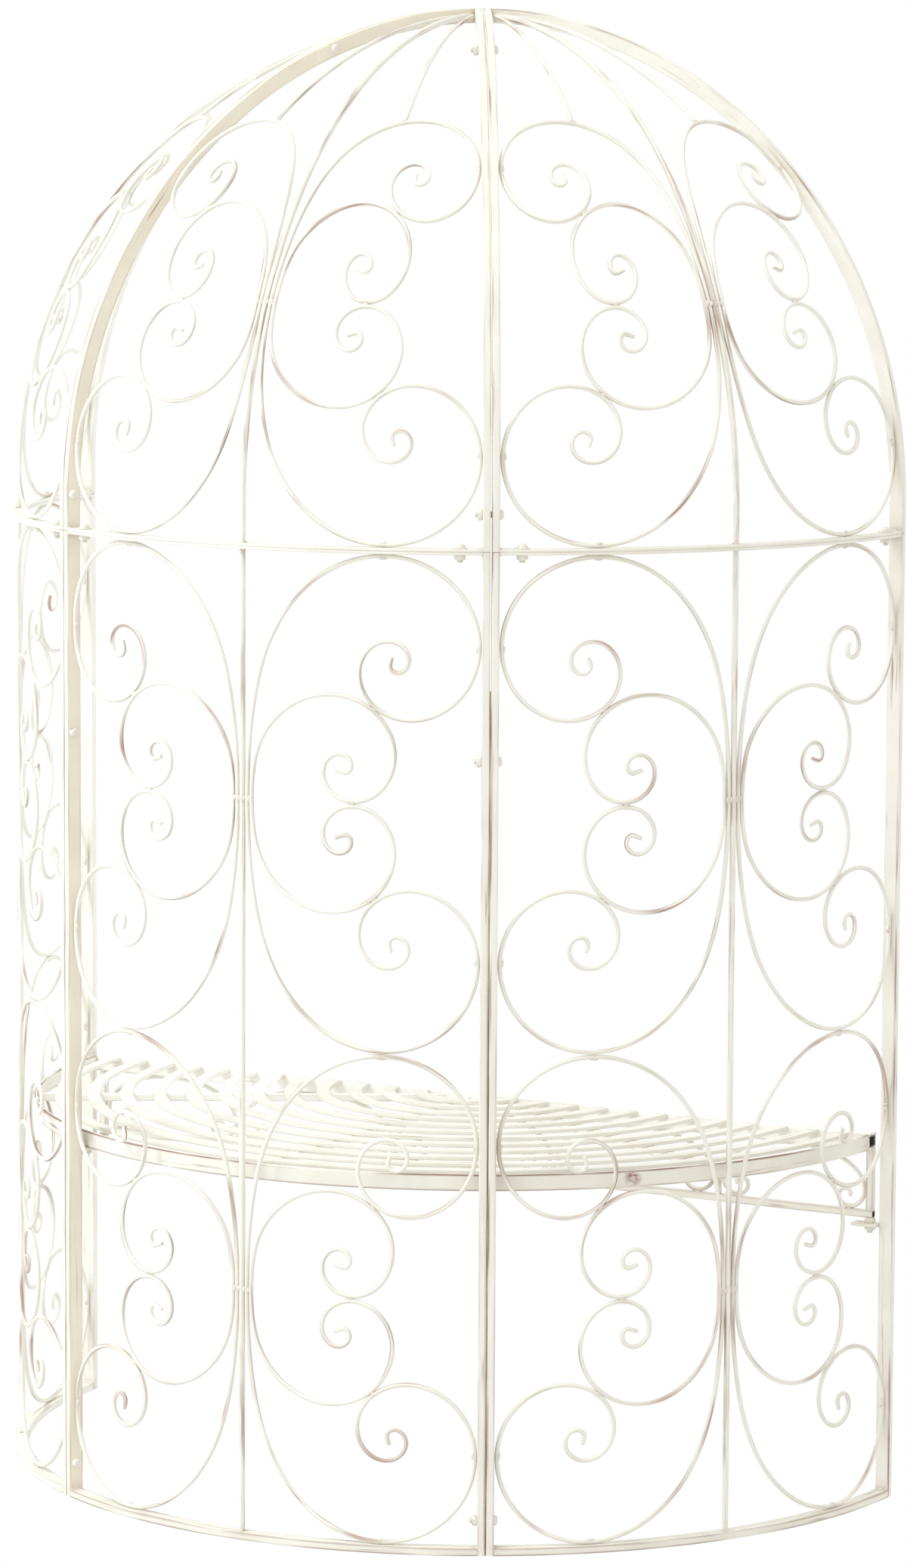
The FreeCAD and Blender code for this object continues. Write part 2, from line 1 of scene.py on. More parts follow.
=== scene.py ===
# %% [markdown]
# A half-round garden gazebo of bent and welded steel, painted antique cream. The CAD model is
# the fixed frame: it says where every bar and rod is. Here each of its pieces is drawn again as
# a fine surface with softened edges, and remembers where each of its points lay on the straight
# bar before bending. The paint can then run, wear and rub along the steel as it does on the real
# one, which a plain solid with flat faces can't show.

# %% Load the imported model
import bpy
import numpy as np
from mathutils import Matrix, Vector


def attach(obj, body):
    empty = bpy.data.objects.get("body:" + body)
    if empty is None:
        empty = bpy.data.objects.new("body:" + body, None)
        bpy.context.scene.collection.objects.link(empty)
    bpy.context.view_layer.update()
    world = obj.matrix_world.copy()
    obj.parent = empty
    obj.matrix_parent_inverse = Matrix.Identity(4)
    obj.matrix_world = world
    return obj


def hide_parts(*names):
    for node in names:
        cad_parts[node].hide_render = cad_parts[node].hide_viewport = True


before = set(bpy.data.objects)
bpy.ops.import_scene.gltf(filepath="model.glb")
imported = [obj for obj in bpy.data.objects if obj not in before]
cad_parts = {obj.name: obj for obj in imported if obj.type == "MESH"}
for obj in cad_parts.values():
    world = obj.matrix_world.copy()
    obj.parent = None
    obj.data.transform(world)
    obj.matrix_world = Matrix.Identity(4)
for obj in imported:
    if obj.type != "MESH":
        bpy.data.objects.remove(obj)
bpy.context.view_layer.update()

print(len(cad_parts), "nodes")

# %% [markdown]
# Everything on this gazebo is a profile carried along a path: a round rod, or a flat bar with
# slightly rounded corners. So one small mesher is enough. It takes a grid of points, whose rows
# run along the bar and whose columns run around it, closes both ends, and stores two attributes
# for the paint: "straight", the point's place on the unbent bar in metres, and "edge", which is
# zero on the profile's flats and up to one on a corner that is rubbed. Blender's curve objects
# could draw the rods too, but they carry no such record of the straight bar.

# %% Grids on the plan circle
MM = 0.001
PLAN_SHIFT = -325.5                     # the plan circle's centre, along Y in mm
STOCK = 6.0                             # length in metres of the bars that the pieces are cut from
dice = np.random.default_rng(11)


def spin(angle):
    """Matrix that turns about the vertical by an angle in degrees."""
    c, s = np.cos(np.radians(angle)), np.sin(np.radians(angle))
    return np.array(((c, -s, 0), (s, c, 0), (0, 0, 1)))


def turn_plan(points, angle):
    """Points in mm, turned about the plan circle's axis by degrees and shifted to the frame in metres."""
    return (points @ spin(angle).T + (0, PLAN_SHIFT, 0)) * MM


def skin(points, straight, edge, loop=False):
    """One closed skin: an n x m grid of points, its places on the straight bar and its edge weights.

    Each skin starts somewhere along the stock, so that no two are worn alike.
    """
    start = np.array((dice.uniform(0, STOCK), 0, 0))
    return {"at": points, "straight": straight * MM + start, "edge": edge, "loop": loop}


print("plan centre", PLAN_SHIFT, "mm along Y")

# %% [markdown]
# A grid becomes faces by joining each point to its neighbours along and around the bar. The sign of the
# volume that they enclose tells whether they point outwards. A piece joins its grids in one mesh, hides the
# CAD nodes that it stands for, and remembers its finish for later.

# %% Faces and pieces
SHARP = np.radians(50)                  # faces that meet at a larger angle keep a sharp edge
made = []


def faces_of(grid, first):
    """Quads between neighbouring rows, and a face at each end, turned so that the volume is positive."""
    n, m = grid["edge"].shape
    index = first + np.arange(n * m).reshape(n, m)
    rows = np.vstack((index, index[:1])) if grid["loop"] else index
    a, b = rows[:-1], rows[1:]
    quads = np.stack((a, np.roll(a, -1, 1), np.roll(b, -1, 1), b), -1).reshape(-1, 4)
    ends = [] if grid["loop"] else [index[0][::-1], index[-1]]
    p = grid["at"].reshape(-1, 3)
    corners = p[quads - first] - p.mean(0)
    volume = np.einsum("ij,ij->i", np.cross(corners[:, 0], corners[:, 1]), corners[:, 2]).sum()
    volume += np.einsum("ij,ij->i", np.cross(corners[:, 0], corners[:, 2]), corners[:, 3]).sum()
    if volume < 0:
        quads, ends = quads[:, ::-1], [e[::-1] for e in ends]
    return quads.tolist() + [e.tolist() for e in ends]


def piece(name, grids, slot, nodes=(), finish=None):
    """Join grids into one mesh object that rides on the root body and stands for the CAD nodes.

    Its finish is that of its slot, unless another is named.
    """
    faces, first = [], 0
    for grid in grids:
        faces += faces_of(grid, first)
        first += grid["edge"].size
    mesh = bpy.data.meshes.new(name)
    points, straight = (np.concatenate([g[key].reshape(-1, 3) for g in grids]) for key in ("at", "straight"))
    mesh.from_pydata(points, [], faces)
    mesh.attributes.new("straight", "FLOAT_VECTOR", "POINT").data.foreach_set("vector", straight.ravel())
    edge = np.concatenate([g["edge"].ravel() for g in grids])
    mesh.attributes.new("edge", "FLOAT", "POINT").data.foreach_set("value", edge)
    mesh.shade_smooth()
    mesh.set_sharp_from_angle(angle=SHARP)
    thing = bpy.data.objects.new(name, mesh)
    bpy.context.scene.collection.objects.link(thing)
    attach(thing, "root")
    if nodes:
        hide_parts(*nodes)
    made.append((thing, points, finish or slot))


def painted(node, grids, slot, finish=None):
    """The piece that stands for one CAD node and is named after it."""
    piece(node + "_painted", grids, slot, [node], finish)


print("pieces so far", len(made), "of", len(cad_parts), "nodes")

# %% [markdown]
# The bars are cold-drawn flats with corners rounded by about a millimetre. A sharp corner would
# catch no light and show no wear. The profile below is a rectangle with three points on each
# corner and two more close beside it, so the flats stay flat under smooth shading.

# %% Flat bar profile
BESIDE = 2.0                            # distance from a corner's arc to the flat points beside it


def flat_profile(half_a, half_b, soft=1.0):
    """Rounded rectangle as (a, b, edge): four arcs of radius soft, each between two points on the flats.

    On a thin bar the arcs and the distances beside them shrink, so that they stay apart.
    """
    half = np.array((half_a, half_b))
    soft = min(soft, 0.45 * half.min())
    beside = np.minimum(BESIDE, 0.5 * (half - soft))
    rows = []
    for k, signs in enumerate(((1, 1), (-1, 1), (-1, -1), (1, -1))):
        turn = np.radians(90 * k + np.array((0, 45, 90)))
        ray = np.stack((np.cos(turn), np.sin(turn)), -1)
        arc = signs * (half - soft) + soft * ray
        rows += [arc[0] - beside * ray[2], *arc, arc[2] - beside * ray[0]]
    return np.column_stack((rows, np.tile((0, 1, 1, 1, 0), 4)))


print("points around a bar", len(flat_profile(10.0, 5.0)))

# %% [markdown]
# A bar is that profile at every ring of its path. The cut ends are drawn in a little, as a file
# leaves them, and an open tube end goes back into itself as a recess. Cutting a bore with a
# Boolean modifier would do the same, but would break up the even grid.

# %% Flat bar along a path
BAR_STEP = 12.0                         # greatest distance between two rings of a bar, in mm
HOLLOW, HOLLOW_DEPTH = 2.0, 30.0        # edge weight inside an open tube, and how deep its end is drawn


def bar(place, length, half_a, half_b, angle=0.0, soft=1.0, blunt=0.6, rub=(0.3, 0.3), inner=1.0, tube=0.0):
    """Flat bar: place(share along, a, b) gives points in mm for shares from 0 to 1 and offsets a and b.

    The two end rings are drawn in by the amount blunt, which rounds off the cut ends. The pair rub
    says how much paint is rubbed from the corners at positive and at negative b, and inner is the
    share of it that goes from the corners at negative a. Where tube is the wall of a hollow bar,
    two smaller rings go back into each end; there the edge weight is HOLLOW.
    """
    profile = flat_profile(half_a, half_b, soft)
    count = max(2, int(np.ceil(length / BAR_STEP)))
    small = blunt / length
    between = np.linspace(small, 1 - small, count + 1)[1:-1]
    share = np.concatenate(((0.0, small), between, (1 - small, 1.0)))
    draw = np.ones(len(share))
    draw[[0, -1]] = 1 - blunt / min(half_a, half_b)
    a, b = (draw[:, None] * v for v in profile.T[:2])
    s = np.repeat(share[:, None], len(profile), 1)
    edge = np.repeat(profile[None, :, 2], len(share), 0)
    edge[[0, -1]] = 1.0
    edge = edge * np.where(b > 0, *rub) * np.where(a < 0, inner, 1.0)
    if tube:
        bore = flat_profile(half_a - tube, half_b - tube, soft)
        deep = HOLLOW_DEPTH / length
        ends = np.repeat(np.array((deep, 0.0, 1.0, 1 - deep))[:, None], len(bore), 1)
        hole = (ends, *(np.repeat(v[None], len(ends), 0) for v in bore.T[:2]))
        s, a, b = (np.concatenate((h[:2], v, h[2:])) for h, v in zip(hole, (s, a, b)))
        edge = np.pad(edge, ((2, 2), (0, 0)), constant_values=HOLLOW)
    return skin(turn_plan(place(s, a, b), angle), np.stack((s * length, a, b), -1), edge)


print("rings between the ends of a metre of bar", int(np.ceil(1 / (BAR_STEP * MM))) - 1)

# %% [markdown]
# Each wall panel is a sixth of a circle: two uprights, a heavy hoop on the ground, a thin hoop
# at mid height that is bolted to the one above, and a rod up the middle. The roof continues it
# with ribs bent to a quarter circle. Two ribs of a gore meet at the crown in a mitre, so every
# line of the rib's profile ends at its own angle. Working the end out per line gives a clean
# mitre without any cutting.

# %% Paths of the bars and hoops
RADIUS, HALF_SEAM = 640.0, 1.0          # plan circle of the bars' middles, and half the gap at a seam
BAR_HALF = (10.0, 5.0)                  # half sizes of a bar: outwards and around
BAR_MID = HALF_SEAM + BAR_HALF[1]       # from the seam's plane to a bar's middle
BAR_FACE = BAR_MID + BAR_HALF[1]        # and to its far face
BAR_INNER = RADIUS - BAR_HALF[0]        # radius of the bars' inner edge
WALL, LEG = 1318.0, 45.0                # height of the wall, and of the ribs' straight feet
DOME = WALL + LEG
RIB = LEG + RADIUS * np.pi / 2          # length of a rib
BASE, HOOP = 10.0, 4.0                  # thickness of the base hoops and of the other hoops
HALF_PANEL, SEAMS = 30.0, (60.0, 120.0)                 # half a panel's angle, and the angles of the seams
MITRE_GAP = 0.3                         # how far a rib stays from the mitre's plane
# Each panel's middle angle, and what its two bars stand beside
PANELS = {"right": (30.0, ("front", "back")), "back": (90.0, ("right", "left")),
          "left": (150.0, ("back", "front"))}


def upright(side):
    """Straight bar beside a seam, whose middle stands half a bar and half a seam from the seam's plane."""
    return lambda s, a, b: np.stack((RADIUS + a, b - side * BAR_MID, s * WALL), -1)


def rib(side):
    """Straight foot, then a quarter circle that stops at the gore's middle plane, x = y * sqrt(3)."""
    def place(s, a, b):
        ring, y = RADIUS + a, b - side * BAR_MID
        stop = np.arccos((np.abs(y) * np.sqrt(3) + MITRE_GAP) / ring)
        foot = np.minimum(s * RIB, LEG)
        lean = np.maximum(0.0, s * RIB - LEG) / (RIB - LEG) * stop
        return np.stack((ring * np.cos(lean), y, WALL + foot + ring * np.sin(lean)), -1)
    return place


def hoop(middle):
    """Arc between the two uprights of a panel; each line of the profile stops at the bar's face."""
    def place(s, a, b):
        ring = RADIUS + a
        reach = np.radians(HALF_PANEL) - np.arcsin(BAR_FACE / ring)
        turn = (2 * s - 1) * reach
        return np.stack((ring * np.cos(turn), ring * np.sin(turn), middle + b), -1)
    return place


print("an upright is", WALL, "mm long and a rib", round(RIB), "mm")

# %% [markdown]
# The three panels are the same steel, but not drawn with the same paint. Each bar is rubbed on corners of its
# own, and the corners beside a seam are darkened further as painted shade of the gap. One bar is painted
# warmer as painted shade of its side face, and one panel is rubbed back least as painted light where a side
# light washes it out. A weight for each corner says so, which takes less than a paint for each bar.

# %% Bars and hoops of every panel
# Wear by kind of end and by side, beside a seam also painted shade of the gap: rubbing at positive b, at
# negative b, and the share of it inside
BAR_WEAR_AND_SEAM_SHADE = {("seam", -1): (0.45, 1.0, 1.0), ("seam", 1): (0.55, 0.45, 1.0),
            ("open", -1): (0.2, 0.2, 1.0), ("open", 1): (0.2, 1.0, 0.2)}
WARM_SHADE_BAR = ("back", "right")            # the bar drawn warmer, as painted shade of its side face
SIDE_LIT_PANEL = "right"                        # the panel drawn rubbed back least, as painted light where a side light washes out its wear
GROUND_WEAR_AND_SHADE = {SIDE_LIT_PANEL: ((0.35, 0.5), "bar_paint")}      # its base hoop: rubbing and finish, both lighter as painted light
hoop_length = RADIUS * np.radians(2 * HALF_PANEL) - 2 * BAR_FACE
for name, (angle, ends) in PANELS.items():
    for side, end in zip((-1, 1), ends):
        *rub, inner = BAR_WEAR_AND_SEAM_SHADE["open" if end == "front" else "seam", side]
        finish = "warm_shade_paint" if (name, end) == WARM_SHADE_BAR else None
        turn = angle + side * HALF_PANEL
        for node, path, length in ((f"wall_{name}_{end}_upright", upright(side), WALL),
                                   (f"roof_{name}_{end}_rib", rib(side), RIB)):
            flat = bar(path, length, *BAR_HALF, angle=turn, rub=rub, inner=inner)
            painted(node, [flat], "bar_paint", finish)
    # the base hoops get a darker, worn finish as painted shade low down, except on the side-lit panel
    ground = GROUND_WEAR_AND_SHADE.get(name, ((0.6, 0.8), "ground_paint"))
    for node, middle, thick, rub, finish in (
            (f"wall_{name}_base_hoop", BASE / 2, BASE, *ground),
            (f"wall_{name}_top_hoop", WALL - HOOP / 2, HOOP, (0.15, 0.05), "bar_paint"),
            (f"roof_{name}_hoop", WALL + HOOP / 2, HOOP, (0.05, 0.15), "bar_paint")):
        flat = bar(hoop(middle), hoop_length, BAR_HALF[0], thick / 2, angle, soft=0.8, blunt=0.1, rub=rub)
        painted(node, [flat], "bar_paint", finish)
print("bars and hoops", len(made))

# %% [markdown]
# The scrolls are 6 mm rod, cold-bent round a former. A rod bent that way has a radius that
# shrinks steadily as it turns, so the curve is worked out from its bending radius at a few
# angles: between them the logarithm of the radius runs straight, and adding up small steps gives
# the path. Tracing the outline by hand would give wobbly curls. Each scroll lies on the panel's
# curved surface, whose outward direction carries the round profile.

# %% Bent rods
ROD, MID_ROD, TOUCH = 3.0, 4.0, 0.3     # radii of the scrolls and of the middle rods, and the gap at a weld
TURN_STEP = 0.25                        # degrees in one small step of a bend
RING_TURN, RING_RUN = 7.0, 8.0          # a bent rod has a ring about every so many degrees or mm
ROD_SIDES = 14
TIP_RUN, TIP_SIZE = 0.5, np.array((0.45, 0.85))         # end rings: distance in mm, shares of the radius
OUTER_BEND = ((0, 1050.0), (20, 255.0), (45, 190.0), (90, 132.0), (180, 108.0), (270, 78.0), (360, 50.5),
              (450, 32.0), (540, 20.5), (620, 13.0), (690, 8.5), (720, 9.0), (735, 50.0), (740, 80.0))
INNER_BEND = ((0, 300.0), (20, 90.0), (45, 117.0), (90, 105.0), (180, 58.0), (270, 52.0), (360, 25.5),
              (450, 20.0), (540, 10.8), (600, 7.2), (636, 7.5), (646, 50.0), (653, 110.0))
APRON_BEND = ((0, 330.0), (25, 150.0), (60, 62.0), (90, 44.0), (180, 26.0), (270, 18.0),
              (360, 12.0), (450, 8.0), (500, 7.0))


def bend(table):
    """Bent rod as (turn in degrees, across, up): sums of radius times small turns, along the heading."""
    angle, radius = np.array(table).T
    mid = np.arange(0, angle[-1], TURN_STEP) + TURN_STEP / 2
    run = np.exp(np.interp(mid, angle, np.log(radius))) * np.radians(TURN_STEP)
    across = np.concatenate(((0,), np.cumsum(run * np.sin(np.radians(mid)))))
    up = np.concatenate(((0,), np.cumsum(run * np.cos(np.radians(mid)))))
    turn = np.concatenate(((0,), mid + TURN_STEP / 2))
    tick = np.concatenate(((0,), np.cumsum(np.maximum(TURN_STEP / RING_TURN, run / RING_RUN))))
    keep = np.searchsorted(tick, np.arange(0, int(tick[-1]) + 1))
    keep = np.append(keep[:-1], len(turn) - 1)
    return turn[keep], across[keep], up[keep]


def unit(v):
    """Vectors of length one."""
    return v / np.linalg.norm(v, axis=-1, keepdims=True)


def tipped(rows, step):
    """Rows along a rod with one more just inside each end, a short step away."""
    near, far = rows[:1] + step[:1] * TIP_RUN, rows[-1:] - step[-1:] * TIP_RUN
    return np.concatenate((rows[:1], near, rows[1:-1], far, rows[-1:]))


def rod(path, out, radius, angle=0.0):
    """Round rod: rings of path + radius * (cos along out + sin along the side), with rounded ends."""
    gap = np.linalg.norm(np.diff(path, axis=0), axis=1)
    length = np.concatenate(((0,), np.cumsum(gap)))
    way = unit(np.gradient(path, length, axis=0))
    out, side = (np.concatenate((v[:1], v, v[-1:])) for v in (out, np.cross(way, out)))
    size = radius * np.concatenate((TIP_SIZE, np.ones(len(path) - 2), TIP_SIZE[::-1]))
    path, length = tipped(path, way), tipped(length, np.ones(len(length)))
    phi = np.arange(ROD_SIDES) * 2 * np.pi / ROD_SIDES
    a, b = size[:, None] * np.cos(phi), size[:, None] * np.sin(phi)
    points = path[:, None] + a[..., None] * out[:, None] + b[..., None] * side[:, None]
    straight = np.stack((np.repeat(length[:, None], ROD_SIDES, 1), a, b), -1)
    return skin(turn_plan(points, angle), straight, np.zeros(a.shape))


outer_turn, outer_x, outer_z = bend(OUTER_BEND)
inner_turn, inner_x, inner_z = bend(INNER_BEND)
print("half an outer scroll is", outer_x.max().round(), "mm across and", outer_z.max().round(), "mm up")

# %% [markdown]
# Every scroll lies on its panel's curved surface: a cylinder on the wall, and on the roof a sphere
# above a short upright foot. One function for each gives the point and the outward direction at a
# distance around and up, so that scrolls end where the bars are, at whatever height.

# %% Surfaces of the wall and the roof
def wall_surface(across, up):
    """Point and outward direction on the wall's cylinder, by distance around from the middle and height."""
    a = across / RADIUS
    out = np.stack((np.cos(a), np.sin(a), np.zeros_like(a)), -1)
    return out * RADIUS + np.stack((0 * a, 0 * a, up + 0 * a), -1), out


def dome_ring(up):
    """Radius of the roof's ring, by distance up the roof."""
    return RADIUS * np.cos(np.maximum(0.0, up - LEG) / RADIUS)


def roof_surface(across, up):
    """The same as for the wall: the roof's foot is upright, and above it is a sphere of the same radius."""
    lean = np.maximum(0.0, up - LEG) / RADIUS
    a = across / dome_ring(up)
    out = np.stack((np.cos(lean) * np.cos(a), np.cos(lean) * np.sin(a), np.sin(lean) + 0 * a), -1)
    lift = WALL + np.minimum(up, LEG)
    return out * RADIUS + np.stack((0 * a, 0 * a, lift + 0 * a), -1), out


def roof_width(up):
    """Way around from a gore's middle to a rod that touches its rib: ring times an angle."""
    ring = dome_ring(up)
    return ring * (np.radians(HALF_PANEL) - np.arcsin((BAR_FACE + ROD + TOUCH) / ring))


def wall_width(up):
    """The same on the wall, at every height."""
    return roof_width(0 * up)


print("half a wall panel leaves its scrolls", round(float(wall_width(0.0))), "mm")

# %% [markdown]
# A panel's scrolls come in pairs. The outer one fills its tier from hoop to hoop and its half
# panel from the middle rod to the upright. The inner one is stretched until it just touches the
# loop of the outer one: halving the interval sixteen times finds that stretch. On the dome the
# same shapes follow the narrowing gore, and its upper loops crowd a little towards the crown.

# %% Scroll pairs
OUT_START = MID_ROD + ROD + TOUCH       # where the scrolls start, beside the panel's middle line
IN_START = OUT_START + 2 * ROD + TOUCH
STRETCH, HALVINGS = (0.6, 1.3), 16      # least and greatest stretch of an inner scroll, and tries to find it
outer_loop = (outer_turn >= 225) & (outer_turn <= 400)          # where the two scrolls of a pair meet
inner_loop = (inner_turn >= 60) & (inner_turn <= 215)
inner_foot = (inner_turn > 200) & (inner_turn < 320)            # where two inner halves meet
reach, rise = outer_x.max(), outer_z.max()
foot = inner_z[inner_foot].min()


def crowded(share, crowding):
    """Share of the way along a half, pushed towards its end: share + crowding * share * (1 - share)."""
    return share + crowding * share * (1 - share)


def outer_half(width, middle, half, sign, crowding):
    """Across and up along half an outer scroll, scaled to the half's length and to the half panel's width."""
    up = middle + sign * crowded(outer_z / rise, crowding) * (half - ROD - TOUCH / 2)
    return OUT_START + outer_x / reach * (width(up) - OUT_START), up


def inner_half(width, middle, half, sign, crowding, stretch):
    """The same for an inner scroll; a smooth lift brings its loop to meet the other half's loop."""
    scale = half / rise * stretch
    t = np.minimum(1.0, inner_turn / 180)
    lift = (ROD + TOUCH / 2) / (1 + crowding) - foot * scale
    climb = inner_z * scale + lift * t * t * (3 - 2 * t)
    up = middle + sign * half * crowded(climb / half, crowding)
    return IN_START + inner_x / reach * (width(up) - OUT_START), up


def nearest(p, q):
    """Least distance between two point rows, and the two indices where it is."""
    far = np.linalg.norm(p[:, None] - q[None], axis=-1)
    k = np.unravel_index(far.argmin(), far.shape)
    return far[k], k


def fitted_inner(surface, width, *half):
    """The inner half at the stretch where its loop just touches the outer one's."""
    loop = surface(*outer_half(width, *half))[0][outer_loop]
    low, high = STRETCH
    for _ in range(HALVINGS):
        stretch = (low + high) / 2
        ring = surface(*inner_half(width, *half, stretch))[0][inner_loop]
        low, high = (stretch, high) if nearest(loop, ring)[0] > 2 * ROD + 2 * TOUCH else (low, stretch)
    return inner_half(width, *half, low)


def scroll(upper, lower):
    """One C from the curl of the upper half down to the curl of the lower half."""
    return tuple(np.concatenate((u[::-1], v[1:])) for u, v in zip(upper, lower))


def tier_scrolls(surface, width, middle, upper, lower, crowding):
    """Halves by sign, and the outer and inner scroll, for a waist height and the lengths above and below."""
    halves = {}
    for half in ((middle, upper, 1, crowding), (middle, lower, -1, 0.0)):
        halves[half[2]] = (outer_half(width, *half), fitted_inner(surface, width, *half))
    return halves, scroll(halves[1][0], halves[-1][0]), scroll(halves[1][1], halves[-1][1])


print("gap left between an inner and an outer scroll", 2 * TOUCH, "mm")

# %% [markdown]
# The wall has two equal tiers of scrolls, and the roof one, whose waist lies a little above its
# middle. Every panel is made alike, so the same curves are turned to all three.

# %% Scrolls of every panel
TIER, ROOF_TIER = 652.0, 618.0          # length of a tier, up the wall and up the roof
ROOF_WAIST, ROOF_CROWDING = 0.513, 0.30                 # share of the roof's tier below its waist
# painted light: the side-lit panel's rods are rubbed less, where the side light washes out their wear
ROD_FINISH = {SIDE_LIT_PANEL: "side_lit_rod_paint"}
wall_middles = [BASE + TIER * (k + 0.5) for k in range(2)]
wall_tiers = [tier_scrolls(wall_surface, wall_width, m, TIER / 2, TIER / 2, 0.0) for m in wall_middles]
roof_low = ROOF_WAIST * ROOF_TIER
roof_middle = HOOP + roof_low
roof_tier = tier_scrolls(roof_surface, roof_width, roof_middle, ROOF_TIER - roof_low, roof_low, ROOF_CROWDING)


def scroll_rods(surface, way, angle):
    """The scroll on both sides of the middle rod."""
    return [rod(*surface(side * way[0], way[1]), ROD, angle) for side in (1, -1)]


for name, (angle, ends) in PANELS.items():
    finish = ROD_FINISH.get(name)
    for word, (_, outer, _) in zip(("lower", "upper"), wall_tiers):
        rods = scroll_rods(wall_surface, outer, angle)
        painted(f"wall_{name}_outer_scrolls_{word}", rods, "rod_paint", finish)
    rods = [g for tier in wall_tiers for g in scroll_rods(wall_surface, tier[2], angle)]
    painted(f"wall_{name}_inner_scrolls", rods, "rod_paint", finish)
    for word, way in zip(("outer", "inner"), roof_tier[1:]):
        painted(f"roof_{name}_{word}_scrolls", scroll_rods(roof_surface, way, angle), "rod_paint", finish)
print("scrolls done, pieces so far", len(made))

# %% [markdown]
# The middle rods run up each panel between the scrolls, and on the dome two thinner tie rods
# stand on the scrolls' crests and lean in to the ribs. All of them are lines of constant share
# of the gore's angle, so one function draws them.

# %% Middle rods and tie rods
TIE_SHARE = 0.47                        # share of the half gore's angle at which a tie rod stands
LINE_STEP, WALL_RINGS = 10.0, 120       # distance between a roof rod's rings, and rings on a wall rod
half_gore = np.radians(HALF_PANEL)


def up_for_ring(ring):
    """Distance up the roof at which the dome's ring has this radius."""
    return LEG + RADIUS * (np.pi / 2 - np.arcsin(ring / RADIUS))


def gore_line(share, low, high):
    """Across and up along a line that keeps its share of the half gore's angle."""
    up = np.linspace(low, high, int((high - low) / LINE_STEP) + 2)
    return share * half_gore * dome_ring(up), up


crest = (outer_turn > 40) & (outer_turn < 130)
crest_x, crest_up = (v[crest] for v in roof_tier[0][1][0])
tie_low = np.interp(TIE_SHARE, crest_x / dome_ring(crest_up) / half_gore, crest_up) + ROD + 2 * TOUCH
tie_high = up_for_ring((BAR_FACE + ROD + TOUCH) / np.sin(half_gore * (1 - TIE_SHARE)))
crown_up = up_for_ring((BAR_FACE + MID_ROD + TOUCH) / np.sin(half_gore))
wall_up = np.linspace(BASE, WALL - HOOP, WALL_RINGS)
wall_line = wall_surface(0 * wall_up, wall_up)
roof_line = roof_surface(*gore_line(0, HOOP, crown_up))
tie_lines = [roof_surface(*gore_line(side * TIE_SHARE, tie_low, tie_high)) for side in (1, -1)]
for name, (angle, ends) in PANELS.items():
    finish = ROD_FINISH.get(name)
    painted(f"wall_{name}_mid_rod", [rod(*wall_line, MID_ROD, angle)], "rod_paint", finish)
    painted(f"roof_{name}_mid_rod", [rod(*roof_line, MID_ROD, angle)], "rod_paint", finish)
    painted(f"roof_{name}_tie_rods", [rod(*line, ROD, angle) for line in tie_lines], "rod_paint", finish)
print("tie rods from", round(tie_low), "to", round(tie_high), "mm up the roof")

# %% [markdown]
# The bench is a half-round grille: a rim on edge, a straight front bar, and twelve flat slats
# bent to half circles that end on the front bar, with three spokes underneath. A slat is the
# same bar as before, carried along an arc that stops at the bar's back face. Slots cut in a disc
# would be quicker, but would look like pressed sheet.

# %% Paths of the bench
SEAT, DEEP = 502.0, 22.0                # top of the slats, and depth of the rim and the front bar
UNDER = SEAT - DEEP
FRONT, BACK = 1.0, 26.0                 # the front bar's faces, along Y from the plan's centre
RIM = (615.0, 620.0)                    # inner and outer radius of the rim
SLAT_HALF, SPOKE_HALF = (9.0, 2.5), (6.0, 5.0)
SLAT_RINGS = 77.0 + 46.0 * np.arange(12)                # radii of the slats
SPOKES = (30.0, 90.0, 150.0)
BAR_WALL, RAIL_WALL = 5.0, 1.5          # walls of the hollow front bar and apron rail
rim_mid, slat_under = sum(RIM) / 2, SEAT - 2 * SLAT_HALF[1]
bar_end = np.sqrt(RIM[1] ** 2 - BACK ** 2)


def half_round(middle, height):
    """Half circle behind the front bar; each line of the profile ends on the bar's back face."""
    def place(s, a, b):
        ring = middle + a
        start = np.arcsin(BACK / ring)
        turn = start + s * (np.pi - 2 * start)
        return np.stack((ring * np.cos(turn), ring * np.sin(turn), height + b), -1)
    return place


def cross_bar(back, low, high, tube):
    """Hollow bar along X between two levels, from the front face to a back face; its ends are open."""
    def place(s, a, b):
        return np.stack((bar_end * (2 * s - 1), (FRONT + back) / 2 + a, (low + high) / 2 + b), -1)
    return bar(place, 2 * bar_end, (back - FRONT) / 2, (high - low) / 2, tube=tube)


def polar(r, turn, off, z):
    """Points at radius r and a turn in degrees, moved sideways by off, at height z."""
    c, s = np.cos(np.radians(turn)), np.sin(np.radians(turn))
    return np.stack((r * c - off * s, r * s + off * c, z), -1)


def spoke(turn):
    """Spoke from the front bar's back face out to the rim, both ends cut to fit."""
    c, s0 = np.cos(np.radians(turn)), np.sin(np.radians(turn))

    def place(s, a, b):
        near, far = (BACK - a * c) / s0, np.sqrt(RIM[0] ** 2 - a * a)
        return polar(near + s * (far - near), turn, a, slat_under - SPOKE_HALF[1] + b)
    return bar(place, RIM[0], *SPOKE_HALF)


def slat(r):
    """Flat slat bent to a half circle of radius r."""
    path = half_round(r, SEAT - SLAT_HALF[1])
    return bar(path, r * np.pi, *SLAT_HALF, blunt=0.1, soft=1.2, rub=(0.15, 0.1))


print("the front bar is", round(2 * bar_end), "mm long")

# %% [markdown]
# The bench was rubbed hard on its rim, where people hold it, and little on the slats. The front bar and the
# spokes get a whiter finish of their own, painted light that lifts the shade the slats cast on them.

